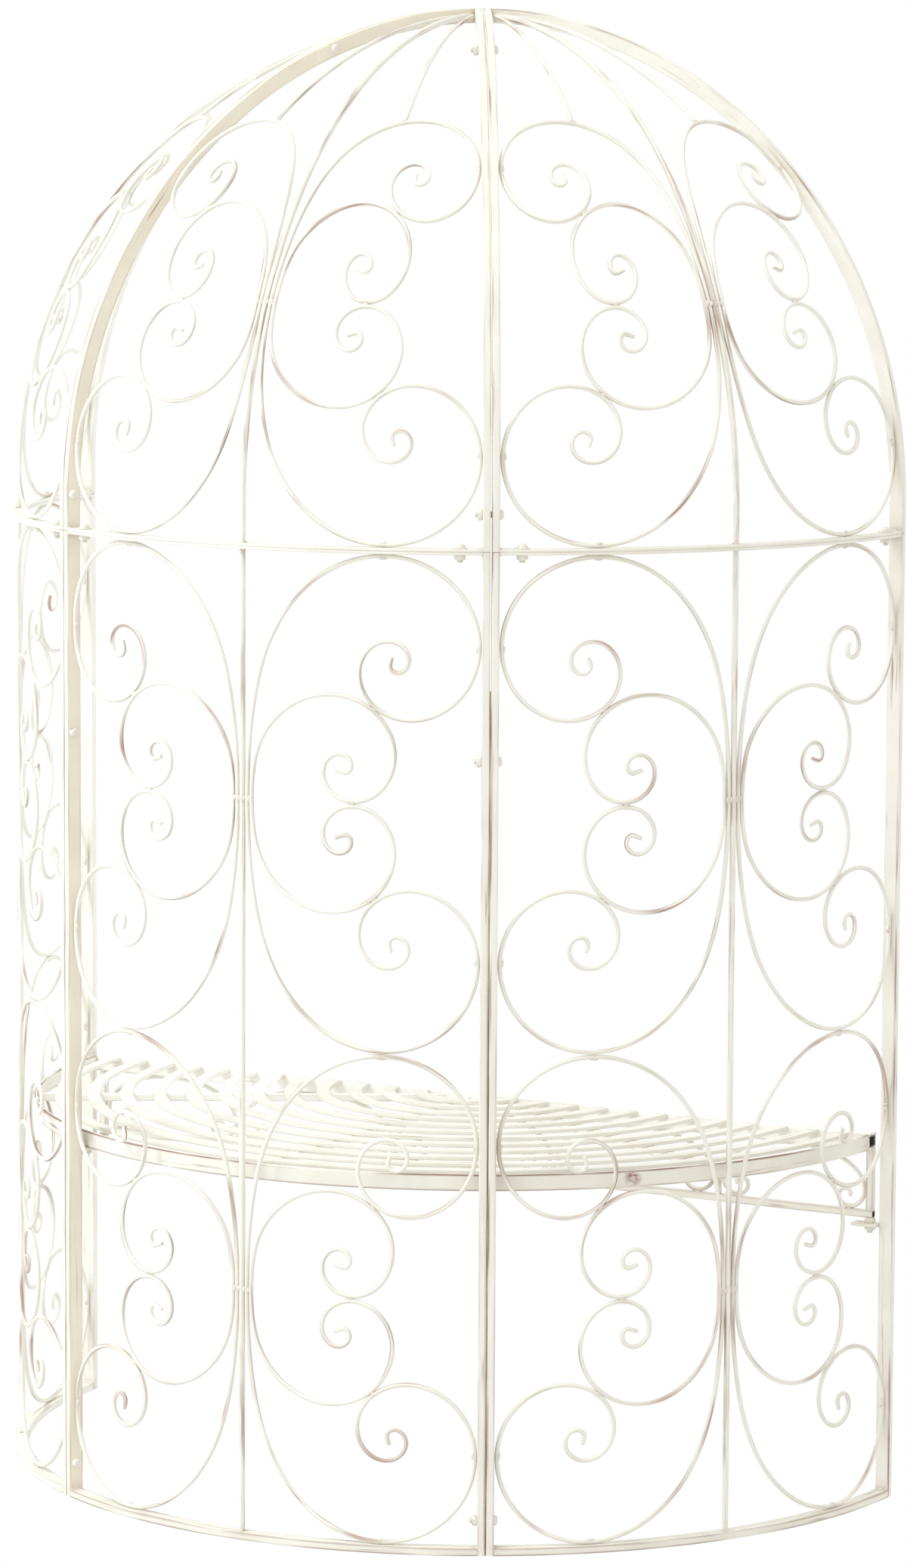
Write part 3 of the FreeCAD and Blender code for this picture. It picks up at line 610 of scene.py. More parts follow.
# %% Bench seat
rim_path, rim_half = half_round(rim_mid, SEAT - DEEP / 2), ((RIM[1] - RIM[0]) / 2, DEEP / 2)
rim = bar(rim_path, rim_mid * np.pi, *rim_half, blunt=0.1, rub=(1.0, 0.6))
painted("seat_rim", [rim], "seat_paint")
# painted light: the front bar and the spokes are whiter to lift the slats' shade
painted("seat_front_bar", [cross_bar(BACK, UNDER, SEAT, BAR_WALL)], "seat_paint", "painted_light_under_slats_paint")
painted("seat_slats", [slat(r) for r in SLAT_RINGS], "seat_paint", "slat_paint")
painted("seat_spokes", [spoke(t) for t in SPOKES], "seat_paint", "painted_light_under_slats_paint")
print("pieces with the bench", len(made))

# %% [markdown]
# Below the bench's front bar hangs an apron: a square rail on two end posts, with five small
# C-scrolls between short tabs. Seen from the back they show faintly under the seat. They are rods
# bent like those of the wall, only smaller and laid on their backs.

# %% Apron
RAIL, RAIL_BACK = (384.0, 394.0), 11.0  # levels of the rail's underside and top, and its back face
POST, END_BAY = 10.0, 225.0             # width of the end posts, and from there to the nearest tab
TAB_HALF, TAB_TOP = 3.0, RAIL[1] + 20.0
APRON_Y = (FRONT + RAIL_BACK) / 2
bay_edge = bar_end - POST
tabs = np.linspace(END_BAY - bay_edge, bay_edge - END_BAY, 4)
_, apron_x, apron_z = bend(APRON_BEND)


def post(left, right, top):
    """Short upright bar on the rail, between two places along X."""
    def place(s, a, b):
        return np.stack(((left + right) / 2 + a, APRON_Y + b, RAIL[1] + s * (top - RAIL[1])), -1)
    return bar(place, top - RAIL[1], (right - left) / 2, (RAIL_BACK - FRONT) / 2, blunt=0.2)


def apron_path(left, right):
    """C-scroll lying on its back: across becomes the drop and up becomes the run along the rail."""
    wide = (right - left) / 2 - ROD - TOUCH
    drop = UNDER - RAIL[1] - 2 * ROD - 3 * TOUCH
    run = np.concatenate((-apron_z[::-1], apron_z[1:])) / apron_z.max() * wide + (left + right) / 2
    fall = np.concatenate((apron_x[::-1], apron_x[1:])) / apron_x.max() * drop
    path = np.stack((run, np.full_like(run, APRON_Y), UNDER - ROD - 2 * TOUCH - fall), -1)
    return path, np.tile((0.0, -1.0, 0.0), (len(run), 1))


painted("apron_rail", [cross_bar(RAIL_BACK, *RAIL, RAIL_WALL)], "seat_paint")
painted("apron_posts", [post(bay_edge, bar_end, UNDER), post(-bar_end, -bay_edge, UNDER)], "seat_paint")
painted("apron_tabs", [post(t - TAB_HALF, t + TAB_HALF, TAB_TOP) for t in tabs], "seat_paint")
bays = list(zip(np.append(-bay_edge, tabs + TAB_HALF), np.append(tabs - TAB_HALF, bay_edge)))
painted("apron_scrolls", [rod(*apron_path(*bay), ROD) for bay in bays], "rod_paint")
print("apron bays", [round(float(right - left)) for left, right in bays])

# %% [markdown]
# The panels are shipped flat and bolted together, so bolts and nuts show along the seams and the
# mid hoop. A thread is a ridge that winds once per pitch, so its radius is a function of height
# and angle; a nut's radius is the lesser of a hexagon and the cone that chamfers its corners.
# Both are surfaces of two parameters, drawn as ordinary meshes.

# %% Bolts and nuts
BOLT, PITCH, THREAD_DEEP = 4.0, 1.25, 0.7               # shank's radius, and the thread's pitch and depth
BOLT_SIDES, NUT_SIDES = 24, 36
NUT_FLAT, NUT_TALL = 6.5, 6.5           # half the width across a nut's flats, and its height
TIP = (0.4, 3.2)                        # radii of the first two rings at a bolt's end
LEAD = 0.3                              # from a bolt's end to its first thread
UP = np.array((0, 0, 1.0))


def turned(radius, height, sides):
    """Surface with rings of these radii, by ring and side, at these heights."""
    phi = np.arange(sides) * 2 * np.pi / sides
    return np.stack((radius * np.cos(phi), radius * np.sin(phi), np.repeat(height[:, None], sides, 1)), -1)


def bolt(head, low, threaded):
    """Head profile as (radius, height) from the rim up to the crown, above a shank that reaches down to low.

    On the threaded stretch the radius dips by a triangle wave of height / pitch minus angle / full turn.
    """
    radii, heights = np.array(head).T
    thread = np.arange(low + LEAD, low + threaded, PITCH / 5)
    height = np.concatenate(((low, low), thread, (low + threaded + LEAD, 0.0)))
    wave = np.abs(((height[:, None] / PITCH - np.arange(BOLT_SIDES) / BOLT_SIDES) % 1.0) - 0.5) * 2
    cut = ((height > low) & (height < low + threaded))[:, None]
    radius = np.where(cut, BOLT - THREAD_DEEP * wave, BOLT)
    radius[:2] = np.array(TIP)[:, None]
    radius = np.concatenate((radius, np.repeat(radii[:, None], BOLT_SIDES, 1)))
    return turned(radius, np.concatenate((height, heights)), BOLT_SIDES)


def nut():
    """Hexagon nut hanging below zero: rings from the bore out over both chamfered faces and back to it."""
    phi = np.arange(NUT_SIDES) * 2 * np.pi / NUT_SIDES
    flat = NUT_FLAT / np.cos((phi + np.pi / 6) % (np.pi / 3) - np.pi / 6)
    down = np.array((0.0, 0.0, 0.45, 1.1, NUT_TALL / 2))
    cone = np.array((4.1, 6.1, 6.75, 9.0, 9.0))
    height = np.concatenate((-down, down[-2::-1] - NUT_TALL, (-NUT_TALL / 2,)))
    cone = np.concatenate((cone, cone[-2::-1], cone[:1]))
    return turned(np.minimum(flat, cone[:, None]), height, NUT_SIDES)


def fastener(points, angle=0.0, loop=False):
    """Skin of a bolt or nut, turned to its place on the plan circle."""
    return skin(turn_plan(points, angle), points, np.zeros(points.shape[:2]), loop)


def lay_down(points, x, z):
    """Turn a fastener from the Z axis to run around the wall, through the seam at a radius and height."""
    return np.stack((points[..., 0] + x, points[..., 2], z - points[..., 1]), -1)


print("rings on a nut", len(nut()))

# %% [markdown]
# Each seam has two bolts on the wall, one low on the roof and one high up the dome, all with plain
# domed heads. Where hoop is bolted to hoop, the heads have a flange.

# %% Bolts along the seams and the mid hoop
SEAM_BOLTS = (46.0, 1047.0, WALL + 48)  # heights of the bolts on the wall and low on the roof
CROWN_LEAN = np.radians(68.0)           # how far up the dome's quarter circle the last bolt is
HOOP_BOLT = 40.0                        # from a panel's end to its hoop bolt, around the hoop
SEAM_SHANK, HOOP_SHANK = (-32.0, 12.0), (-18.0, 11.0)   # a shank's end below its head, and thread length
FLANGE, CROWN = 1.5, (0.4, 5.0)         # thickness of the flange; radius and height of a head's flat top
HEAD_TOP, HEAD_ROUND = 2.5, 4.5         # a domed head falls away from the first radius by the second
spots = [(RADIUS, z) for z in SEAM_BOLTS]
spots.append((RADIUS * np.cos(CROWN_LEAN), DOME + RADIUS * np.sin(CROWN_LEAN)))
dome_turns = np.radians(np.arange(0, 91, 18))
dome_head = [(HEAD_TOP + HEAD_ROUND * np.cos(d), CROWN[1] * np.sin(d)) for d in dome_turns]
plain_head = [(BOLT, 0.0), (6.6, 0.0)] + dome_head + [CROWN]
flange_head = [(BOLT, 0.0), (9.7, 0.0), (10.0, 0.3), (10.0, 1.2), (9.6, FLANGE)]
flange_head += [(r, h + FLANGE) for r, h in dome_head + [CROWN]]
seam_bolt = bolt(plain_head, *SEAM_SHANK) + UP * BAR_FACE
seam_nut = nut() - UP * BAR_FACE
seams = [(a, x, z) for a in SEAMS for x, z in spots]
bolts = [fastener(lay_down(seam_bolt, x, z), a) for a, x, z in seams]
nuts = [fastener(lay_down(seam_nut, x, z), a, True) for a, x, z in seams]
painted("seam_bolts", bolts, "fastener_paint")
painted("seam_nuts", nuts, "fastener_paint")
bolt_turn = HALF_PANEL - np.degrees(HOOP_BOLT / RADIUS)
hoop_turns = [angle + side * bolt_turn for angle, ends in PANELS.values() for side in (-1, 1)]
hoop_bolt = bolt(flange_head, *HOOP_SHANK) + (RADIUS, 0, WALL + HOOP)
hoop_nut = nut() + (RADIUS, 0, WALL - HOOP)
painted("hoop_bolts", [fastener(hoop_bolt, a) for a in hoop_turns], "fastener_paint")
painted("hoop_nuts", [fastener(hoop_nut, a, True) for a in hoop_turns], "fastener_paint")
print("bolts", len(seams), "+", len(hoop_turns))

# %% [markdown]
# The bench sits on four small plates welded inside the uprights. A stud under the seat passes
# through each plate and is held by nuts. A stud is a bolt without a head, and a plate is a short
# bar, so nothing new is needed to draw them.

# %% Seat brackets and studs
STUD_Y, FRONT_STUD, BACK_STUD = 7.5, 20.5, 14.0         # place of the front studs, lengths of front and back
BARE_SHANK = 2.0                        # what is left of a stud without a thread
PLATE_NEAR, PLATE_WIDE, PLATE_THICK = 592.0, 20.0, 4.0  # radius of a plate's inner end, width and thickness
stud_spots = [(np.array((x, STUD_Y, RAIL[0])), 0.0, FRONT_STUD, NUT_TALL) for x in (RIM[0], -RIM[0])]
stud_spots += [(np.array((rim_mid, 0.0, UNDER)), a, BACK_STUD, 0.0) for a in SEAMS]
flush = [(BOLT, 0.0), (3.6, 0.0), (TIP[0], 0.0)]
studs, nuts = [], []
for spot, a, length, above in stud_spots:
    studs.append(fastener(bolt(flush, -length, length - BARE_SHANK) + spot, a))
    if above:
        nuts.append(fastener(nut() + spot, a, True))
    nuts.append(fastener(nut() + spot - UP * (above + PLATE_THICK), a, True))
painted("seat_studs", studs, "fastener_paint")
painted("seat_nuts", nuts, "fastener_paint")


def plate(x, y, top, angle=0.0):
    """Flat plate that runs from x along X for its own length, and from y along Y for its width."""
    def place(s, a, b):
        run = s * (BAR_INNER - PLATE_NEAR)
        return np.stack((x + run, y + PLATE_WIDE / 2 + a, top - PLATE_THICK / 2 + b), -1)
    return bar(place, BAR_INNER - PLATE_NEAR, PLATE_WIDE / 2, PLATE_THICK / 2, angle=angle)


plates = [plate(x, FRONT, RAIL[0] - NUT_TALL) for x in (PLATE_NEAR, -BAR_INNER)]
plates += [plate(PLATE_NEAR, -PLATE_WIDE / 2, UNDER, a) for a in SEAMS]
painted("seat_brackets", plates, "seat_paint")
left_over = sorted(set(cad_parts) - {thing.name.removesuffix("_painted") for thing, _, _ in made})
print("pieces", len(made), "nodes not yet drawn", left_over)

# %% [markdown]
# Every joint is welded by hand, with a short bead where two rods touch and a run of small ones
# where a bar meets a hoop. The places come from the curves themselves: a bead lies where a scroll
# comes nearest to its neighbour. First comes a notebook for them, with the size of each kind.

# %% Notebook of weld beads
beads = {"wall": [], "roof": [], "seat": []}
BEAD_SIZE = {                           # half sizes in mm: along the joint, across it and outward
    "bundle": (4.2, 2.3, 2.7), "bundle_back": (3.8, 2.2, 2.5), "crest": (5.0, 2.0, 2.6),
    "loop": (4.6, 2.2, 2.7), "foot": (4.4, 2.2, 2.7), "hoop": (3.0, 1.7, 1.7), "corner": (2.6, 1.6, 1.6),
    "mid_rod": (3.6, 1.7, 1.9), "tie_foot": (4.6, 2.0, 2.9), "tie_top": (5.0, 2.4, 2.9),
    "slat": (6.5, 1.3, 1.6), "spoke": (5.0, 1.4, 1.4), "rim": (2.8, 1.6, 1.6),
    "apron_top": (6.0, 1.8, 2.6), "apron_low": (4.8, 1.7, 2.6), "apron_side": (4.4, 1.7, 2.6)}


def bead(group, at, along, out, kind):
    """Note one bead: its middle, the joint's direction, the outward direction and its half sizes."""
    vectors = (np.array(v, float) for v in (at, along, out))
    beads[group].append((*vectors, np.array(BEAD_SIZE[kind])))


def bead_run(group, start, stop, out, kind, count):
    """A run of overlapping beads between two points."""
    start, stop = np.array(start, float), np.array(stop, float)
    for k in range(count):
        bead(group, start + (stop - start) * (k + 0.5) / count, stop - start, out, kind)


print("kinds of bead", len(BEAD_SIZE))

# %% [markdown]
# The panels are alike, so the beads are noted once for a panel and turned to all three. Scrolls
# are welded where they touch the middle rod, each other, the hoops and the bars.

# %% Weld places of a panel
BUNDLE_OFF, ROD_OFF = 1.2, 3.4          # how far beads lie from the middle of a bundle, and of a middle rod
RUN_HALF, CORNER_IN = 8.0, 1.5          # half the length of a run, and where one starts up a hoop's edge


def tier_beads(group, surface, halves, middle, meets):
    """Beads of one tier on both sides of the middle rod: bundle, crests, sides, loops and feet.

    The signs in meets are those of the halves whose crest is welded to what it touches.
    """
    for side in (1, -1):
        for x in (MID_ROD + TOUCH / 2, OUT_START + ROD + TOUCH / 2):
            at, out = surface(np.array(side * x), np.array(middle))
            up = surface(np.array(side * x), np.array(middle + 1.0))[0] - at
            bead(group, at + out * BUNDLE_OFF, up, out, "bundle")
            bead(group, at - out * BUNDLE_OFF, up, out, "bundle_back")
        for sign in (1, -1):
            (ox, oz), (ix, iz) = halves[sign]
            path, out = surface(side * ox, oz)
            ring = surface(side * ix, iz)[0]
            way = unit(np.gradient(path, axis=0))
            for turn in (90, 180) if sign in meets else (180,):
                k = int(np.abs(outer_turn - turn).argmin())
                off = unit(np.cross(way[k], out[k])) * side * sign * ROD
                bead(group, path[k] + off, way[k], out[k], "crest")
            i, j = nearest(path[outer_loop], ring[inner_loop])[1]
            at = (path[outer_loop][i] + ring[inner_loop][j]) / 2
            bead(group, at, way[outer_loop][i], out[outer_loop][i], "loop")
            if sign > 0:
                k = np.flatnonzero(inner_foot)
                k = k[iz[k].argmin()]
                at, out = surface(np.array(side * ix[k]), np.array(middle))
                bead(group, at, np.gradient(ring, axis=0)[k], out, "foot")


def frame_beads(side):
    """Runs where the hoops meet one upright and one rib of a panel, turned from the seam's own frame."""
    y, turn = -side * BAR_FACE, spin(side * HALF_PANEL)
    runs = [((RADIUS - RUN_HALF, y, z), (RADIUS + RUN_HALF, y, z), (0, -side, up), "hoop", 4)
            for z, up in ((BASE, 1), (WALL - HOOP, -1), (WALL + HOOP, 1))]
    edge = ((BAR_INNER, y, z) for z in (CORNER_IN, BASE - CORNER_IN))
    runs.append((*edge, (-1, -side, 0), "corner", 2))
    for start, stop, out, kind, count in runs:
        bead_run("wall", turn @ start, turn @ stop, turn @ out, kind, count)


for k, tier in enumerate(wall_tiers):
    tier_beads("wall", wall_surface, tier[0], wall_middles[k], (-1, 1) if k == 0 else (1,))
tier_beads("roof", roof_surface, roof_tier[0], roof_middle, (-1,))
for side, (at, out) in zip((-1, 1), tie_lines[::-1]):
    frame_beads(side)
    for r in (-1, 1):
        for group, z, up in (("wall", BASE + TOUCH, 0.6), ("wall", WALL - HOOP - TOUCH, -0.6),
                             ("roof", WALL + HOOP + TOUCH, 0.6)):
            bead(group, (RADIUS + r * ROD_OFF, 0, z), (0, 1, 0), (r, 0, up), "mid_rod")
    bead("roof", at[0], np.cross(out[0], at[1] - at[0]), out[0], "tie_foot")
    bead("roof", at[-1], at[-1] - at[-2], out[-1], "tie_top")
print({k: len(v) for k, v in beads.items()}, "beads in a panel and so far in the seat")

# %% [markdown]
# On the bench the slats are welded to the front bar and to the spokes from below, the spokes to
# the rim, the plates to the bars, and the apron's scrolls to whatever they touch. The places come
# from the same radii and angles as the steel, so no bead floats.

# %% Weld places on the bench and the apron
SIDEWAYS, FORWARD = (1, 0, 0), (0, -1, 0)
OFF_BAR, OFF_ROD = 0.4, 0.2             # how far a bead's middle lies off the face of its bar
SPOKE_CLEAR = 12.0                      # a crossing nearer to the front bar than this has no bead
PLATE_RUN = (3.0, 11.0)                 # stretch along Y that is welded under a front plate
for r in SLAT_RINGS:
    for s in (-1, 1):
        at = (s * r * np.cos(np.arcsin(BACK / r)), BACK + OFF_BAR, slat_under)
        bead("seat", at, SIDEWAYS, (0, 0.5, -1), "slat")
    for t in SPOKES:
        if r * np.sin(np.radians(t)) > BACK + SPOKE_CLEAR:
            for side in (-1, 1):
                at = polar(r, t, side * SPOKE_HALF[0], slat_under)
                bead("seat", at, polar(1, t, 0, 0), polar(0, t, side, -1), "spoke")
for t in SPOKES:
    start, stop = (polar(RIM[0] - OFF_BAR, t, off * SPOKE_HALF[0], slat_under) for off in (1, -1))
    bead_run("seat", start, stop, polar(-1, t, 0, 1), "rim", 3)
for left, right in bays:
    bead("seat", ((left + right) / 2, APRON_Y, UNDER - OFF_ROD), SIDEWAYS, FORWARD, "apron_top")
    x, _, z = apron_path(left, right)[0].T
    half = len(x) // 2
    for k in (z[:half].argmin(), half + z[half:].argmin()):
        bead("seat", (x[k], APRON_Y, RAIL[1] + OFF_ROD), SIDEWAYS, FORWARD, "apron_low")
    for k, s in ((x.argmin(), -1), (x.argmax(), 1)):
        bead("seat", (x[k] + s * ROD, APRON_Y, z[k]), UP, FORWARD, "apron_side")
for a in SEAMS:
    start, stop = (polar(BAR_INNER, a, off, UNDER - PLATE_THICK) for off in (-RUN_HALF, RUN_HALF))
    bead_run("seat", start, stop, polar(-1, a, 0, -1), "rim", 4)
for s in (-1, 1):
    start, stop = ((s * BAR_INNER, y, RAIL[0] - NUT_TALL - PLATE_THICK) for y in PLATE_RUN)
    bead_run("seat", start, stop, (-s, 0, -1), "corner", 3)
print(len(beads["seat"]), "beads on the bench")

# %% [markdown]
# A bead is a lumpy ellipsoid: a sphere in two angles, stretched along the joint and swelled by two
# sine waves with a seeded phase. All beads of a panel are worked out in one array and joined in
# one mesh. Bump alone would leave the joints bare in the mesh.

# %% Weld beads as meshes
BEAD_RINGS, BEAD_SIDES, POLE = 7, 9, 0.12               # rings, sides, and angle from pole to first ring
LUMPS, BEAD_SPREAD = (0.10, 0.07), (0.85, 1.15)         # heights of the two waves, and range of sizes


def bead_skins(noted, angle):
    """Ellipsoids r(u, v) = 1 + lumps, with u from pole to pole along the joint and v around it."""
    at, along, out, size = (np.array(v) for v in zip(*noted))
    along, out = unit(along), unit(out)
    out = unit(out - along * np.sum(along * out, -1, keepdims=True))
    side = np.cross(along, out)
    u = np.linspace(POLE, np.pi - POLE, BEAD_RINGS)[None, :, None]
    v = (np.arange(BEAD_SIDES) * 2 * np.pi / BEAD_SIDES)[None, None, :]
    phase = dice.uniform(0, 2 * np.pi, (len(noted), 2))[..., None, None]
    lump = 1 + LUMPS[0] * np.sin(2 * u + 2 * v + phase[:, 0]) + LUMPS[1] * np.sin(3 * u - v + phase[:, 1])
    size = size * dice.uniform(*BEAD_SPREAD, (len(noted), 1))
    x, y, z = lump * np.cos(u), lump * np.sin(u) * np.cos(v), lump * np.sin(u) * np.sin(v)
    points = at[:, None, None]
    for k, (share, way) in enumerate(((x, along), (y, side), (z, out))):
        points = points + (share * size[:, k, None, None])[..., None] * way[:, None, None]
    placed = turn_plan(points, angle)
    return [skin(p, q, np.zeros(q.shape[:2])) for p, q in zip(placed, points)], turn_plan(at, angle)


weld_points = []
for name, (angle, ends) in PANELS.items():
    for group in ("wall", "roof"):
        skins, places = bead_skins(beads[group], angle)
        piece(f"{group}_{name}_welds", skins, "rod_paint")
        weld_points.append(places)
skins, places = bead_skins(beads["seat"], 0.0)
piece("seat_welds", skins, "seat_paint")
weld_points = np.concatenate(weld_points + [places])
print("weld beads", len(weld_points))

# %% [markdown]
# The bolts pull two panels together, and over the years old paint and rust have closed most of the seam
# between their bars: a dark line up the wall, and on the dome a painted one. Only around the mid hoop does
# daylight show. The filling is a thin strip that lies a little below the bars' faces, because darker paint on
# the bars could not close the gap. On the wall its dark brown is partly rust and partly painted shade of the
# narrow seam.

# %% Seam filling
FILL_HALF = (1.3, HALF_SEAM)            # half depth and half width of the filling
WALL_FILL, ROOF_FILL = 647.3, 648.1     # radius of its middle, on the wall and on the dome
FILL_LOW, FILL_TALL = 0.5, 1138.0       # where the wall's filling starts, and its length
FILL_LEAN = np.radians((15.0, 88.5))    # stretch of the dome's quarter circle that is filled
roof_length = ROOF_FILL * (FILL_LEAN[1] - FILL_LEAN[0])


def wall_fill(s, a, b):
    """Straight strip in the seam's plane."""
    return np.stack((WALL_FILL + a, b, FILL_LOW + s * FILL_TALL), -1)


def roof_fill(s, a, b):
    """Arc in the seam's plane: radius times (cos, sin) of the lean."""
    lean = FILL_LEAN[0] + s * (FILL_LEAN[1] - FILL_LEAN[0])
    return np.stack(((ROOF_FILL + a) * np.cos(lean), b, DOME + (ROOF_FILL + a) * np.sin(lean)), -1)


strips = [bar(wall_fill, FILL_TALL, *FILL_HALF, angle=a, blunt=0.1) for a in SEAMS]
# painted shade: the dark strip is partly rust and partly the shade of the narrow seam
piece("wall_seam_rust", strips, "bar_paint", finish="seam_shade_and_rust")
strips = [bar(roof_fill, roof_length, *FILL_HALF, angle=a, blunt=0.1) for a in SEAMS]
piece("roof_seam_paint", strips, "bar_paint")
print("seam filling", round(FILL_TALL), "mm on the wall and", round(float(roof_length)), "mm on the dome")

# %% [markdown]
# Paint burns and chips first where the steel was welded, so each point of the gazebo also learns
# how far it is from the nearest bead. A search tree answers that for every point at once; the
# attribute "weld" falls from one at the bead to nothing a few millimetres away.

# %% Distance to the nearest weld
from mathutils.kdtree import KDTree

HEAT = 7 * MM                           # distance at which a weld's heat has fallen to about a third
tree = KDTree(len(weld_points))
for k, place in enumerate(weld_points):
    tree.insert(place, k)
tree.balance()
for thing, points, _ in made:
    far = np.array([tree.find(p)[2] for p in points])
    heat = np.exp(-(far / HEAT) ** 2)
    thing.data.attributes.new("weld", "FLOAT", "POINT").data.foreach_set("value", heat)
print("triangles", sum(len(p.vertices) - 2 for thing, _, _ in made for p in thing.data.polygons))

# %% [markdown]
# Colours are noted as a paint shop's screen shows them, in sRGB hex, but light adds up in linear
# values, so one function converts them. Materials are built from nodes in the script, because a
# painted picture would have to be stored beside it; one small function adds a node.

# %% Colours and nodes
def linear(code):
    """Linear colour of an sRGB hex code: c / 12.92 below 0.04045, else ((c + 0.055) / 1.055) ^ 2.4."""
    c = np.array([int(code[k:k + 2], 16) / 255 for k in (1, 3, 5)])
    c = np.where(c <= 0.04045, c / 12.92, ((c + 0.055) / 1.055) ** 2.4)
    return (*c.tolist(), 1.0)


def add(tree, kind, inputs=(), out=0, **settings):
    """Add a node with its settings and give one of its outputs; an input is a value or another's output."""
    node = tree.nodes.new("ShaderNode" + kind)
    for key, value in settings.items():
        setattr(node, key, value)
    for key, value in dict(inputs).items():
        if isinstance(value, bpy.types.NodeSocket):
            tree.links.new(value, node.inputs[key])
        else:
            node.inputs[key].default_value = value
    return node.outputs[out]


print("linear cream", [round(v, 2) for v in linear("#E7E4D9")[:3]])

# %% [markdown]
# The finish is air-dried enamel in antique cream, brushed over a brown primer and rubbed back by
# hand. The eye sees a warm, slightly uneven white, brown lines where the rubbing cut through on
# proud corners and along the rods, and a dull satin gloss. One function builds it, and every
# pattern size in it is a real length. Noise that is stretched along the straight bar gives
# streaks that follow each bend, which noise in space could not.

# %% Rubbed cream enamel
STREAK = (0.130, 0.005, 0.005)          # length and widths of a pattern in metres: rubbed streaks
CHIP = (0.016, 0.006, 0.006)            # chips
BRUSH = (0.012, 0.0012, 0.0012)         # brush marks, drawn coarser than real ones so that they show
HANDLED, DRIFT = 0.11, 0.07             # size of the places that were rubbed, and of the colour's drift
LOW_SHADE, LOW_SHADE_TOP = 0.05, 0.9          # extra rubbing at the ground, painted shade that darkens the bottom, and the height where it ends
KNOCK, KNOCK_SIZE = (-0.461, 0.089, 0.493), 0.014       # where the rim was struck, and how wide it chipped
BARE_STEEL_AND_RECESS_SHADE = "#5A5048"                  # unpainted inside of a tube, drawn dark also as painted shade of the recess
# Between the two levels of a pair, noise turns from whole paint to bare primer, or from tint to tint
STREAK_CUT, CORNER_CUT, HAND_CUT = (0.64, 0.74), (0.48, 0.62), (0.38, 0.66)
BURN_CUT, CHIP_CUT, DRIFT_CUT = (0.30, 0.75), (0.36, 0.54), (0.35, 0.65)
HOLLOW_CUT = (1.1, 1.6)                 # edge weights between those of a corner and of a tube's inside
GLOSS = (0.42, 0.68)                    # roughness of the enamel and of bare primer
RELIEF, RELIEF_HEIGHT = 0.15, 0.0003    # strength of the bump, and its height in metres
ENAMEL_IOR = 1.5


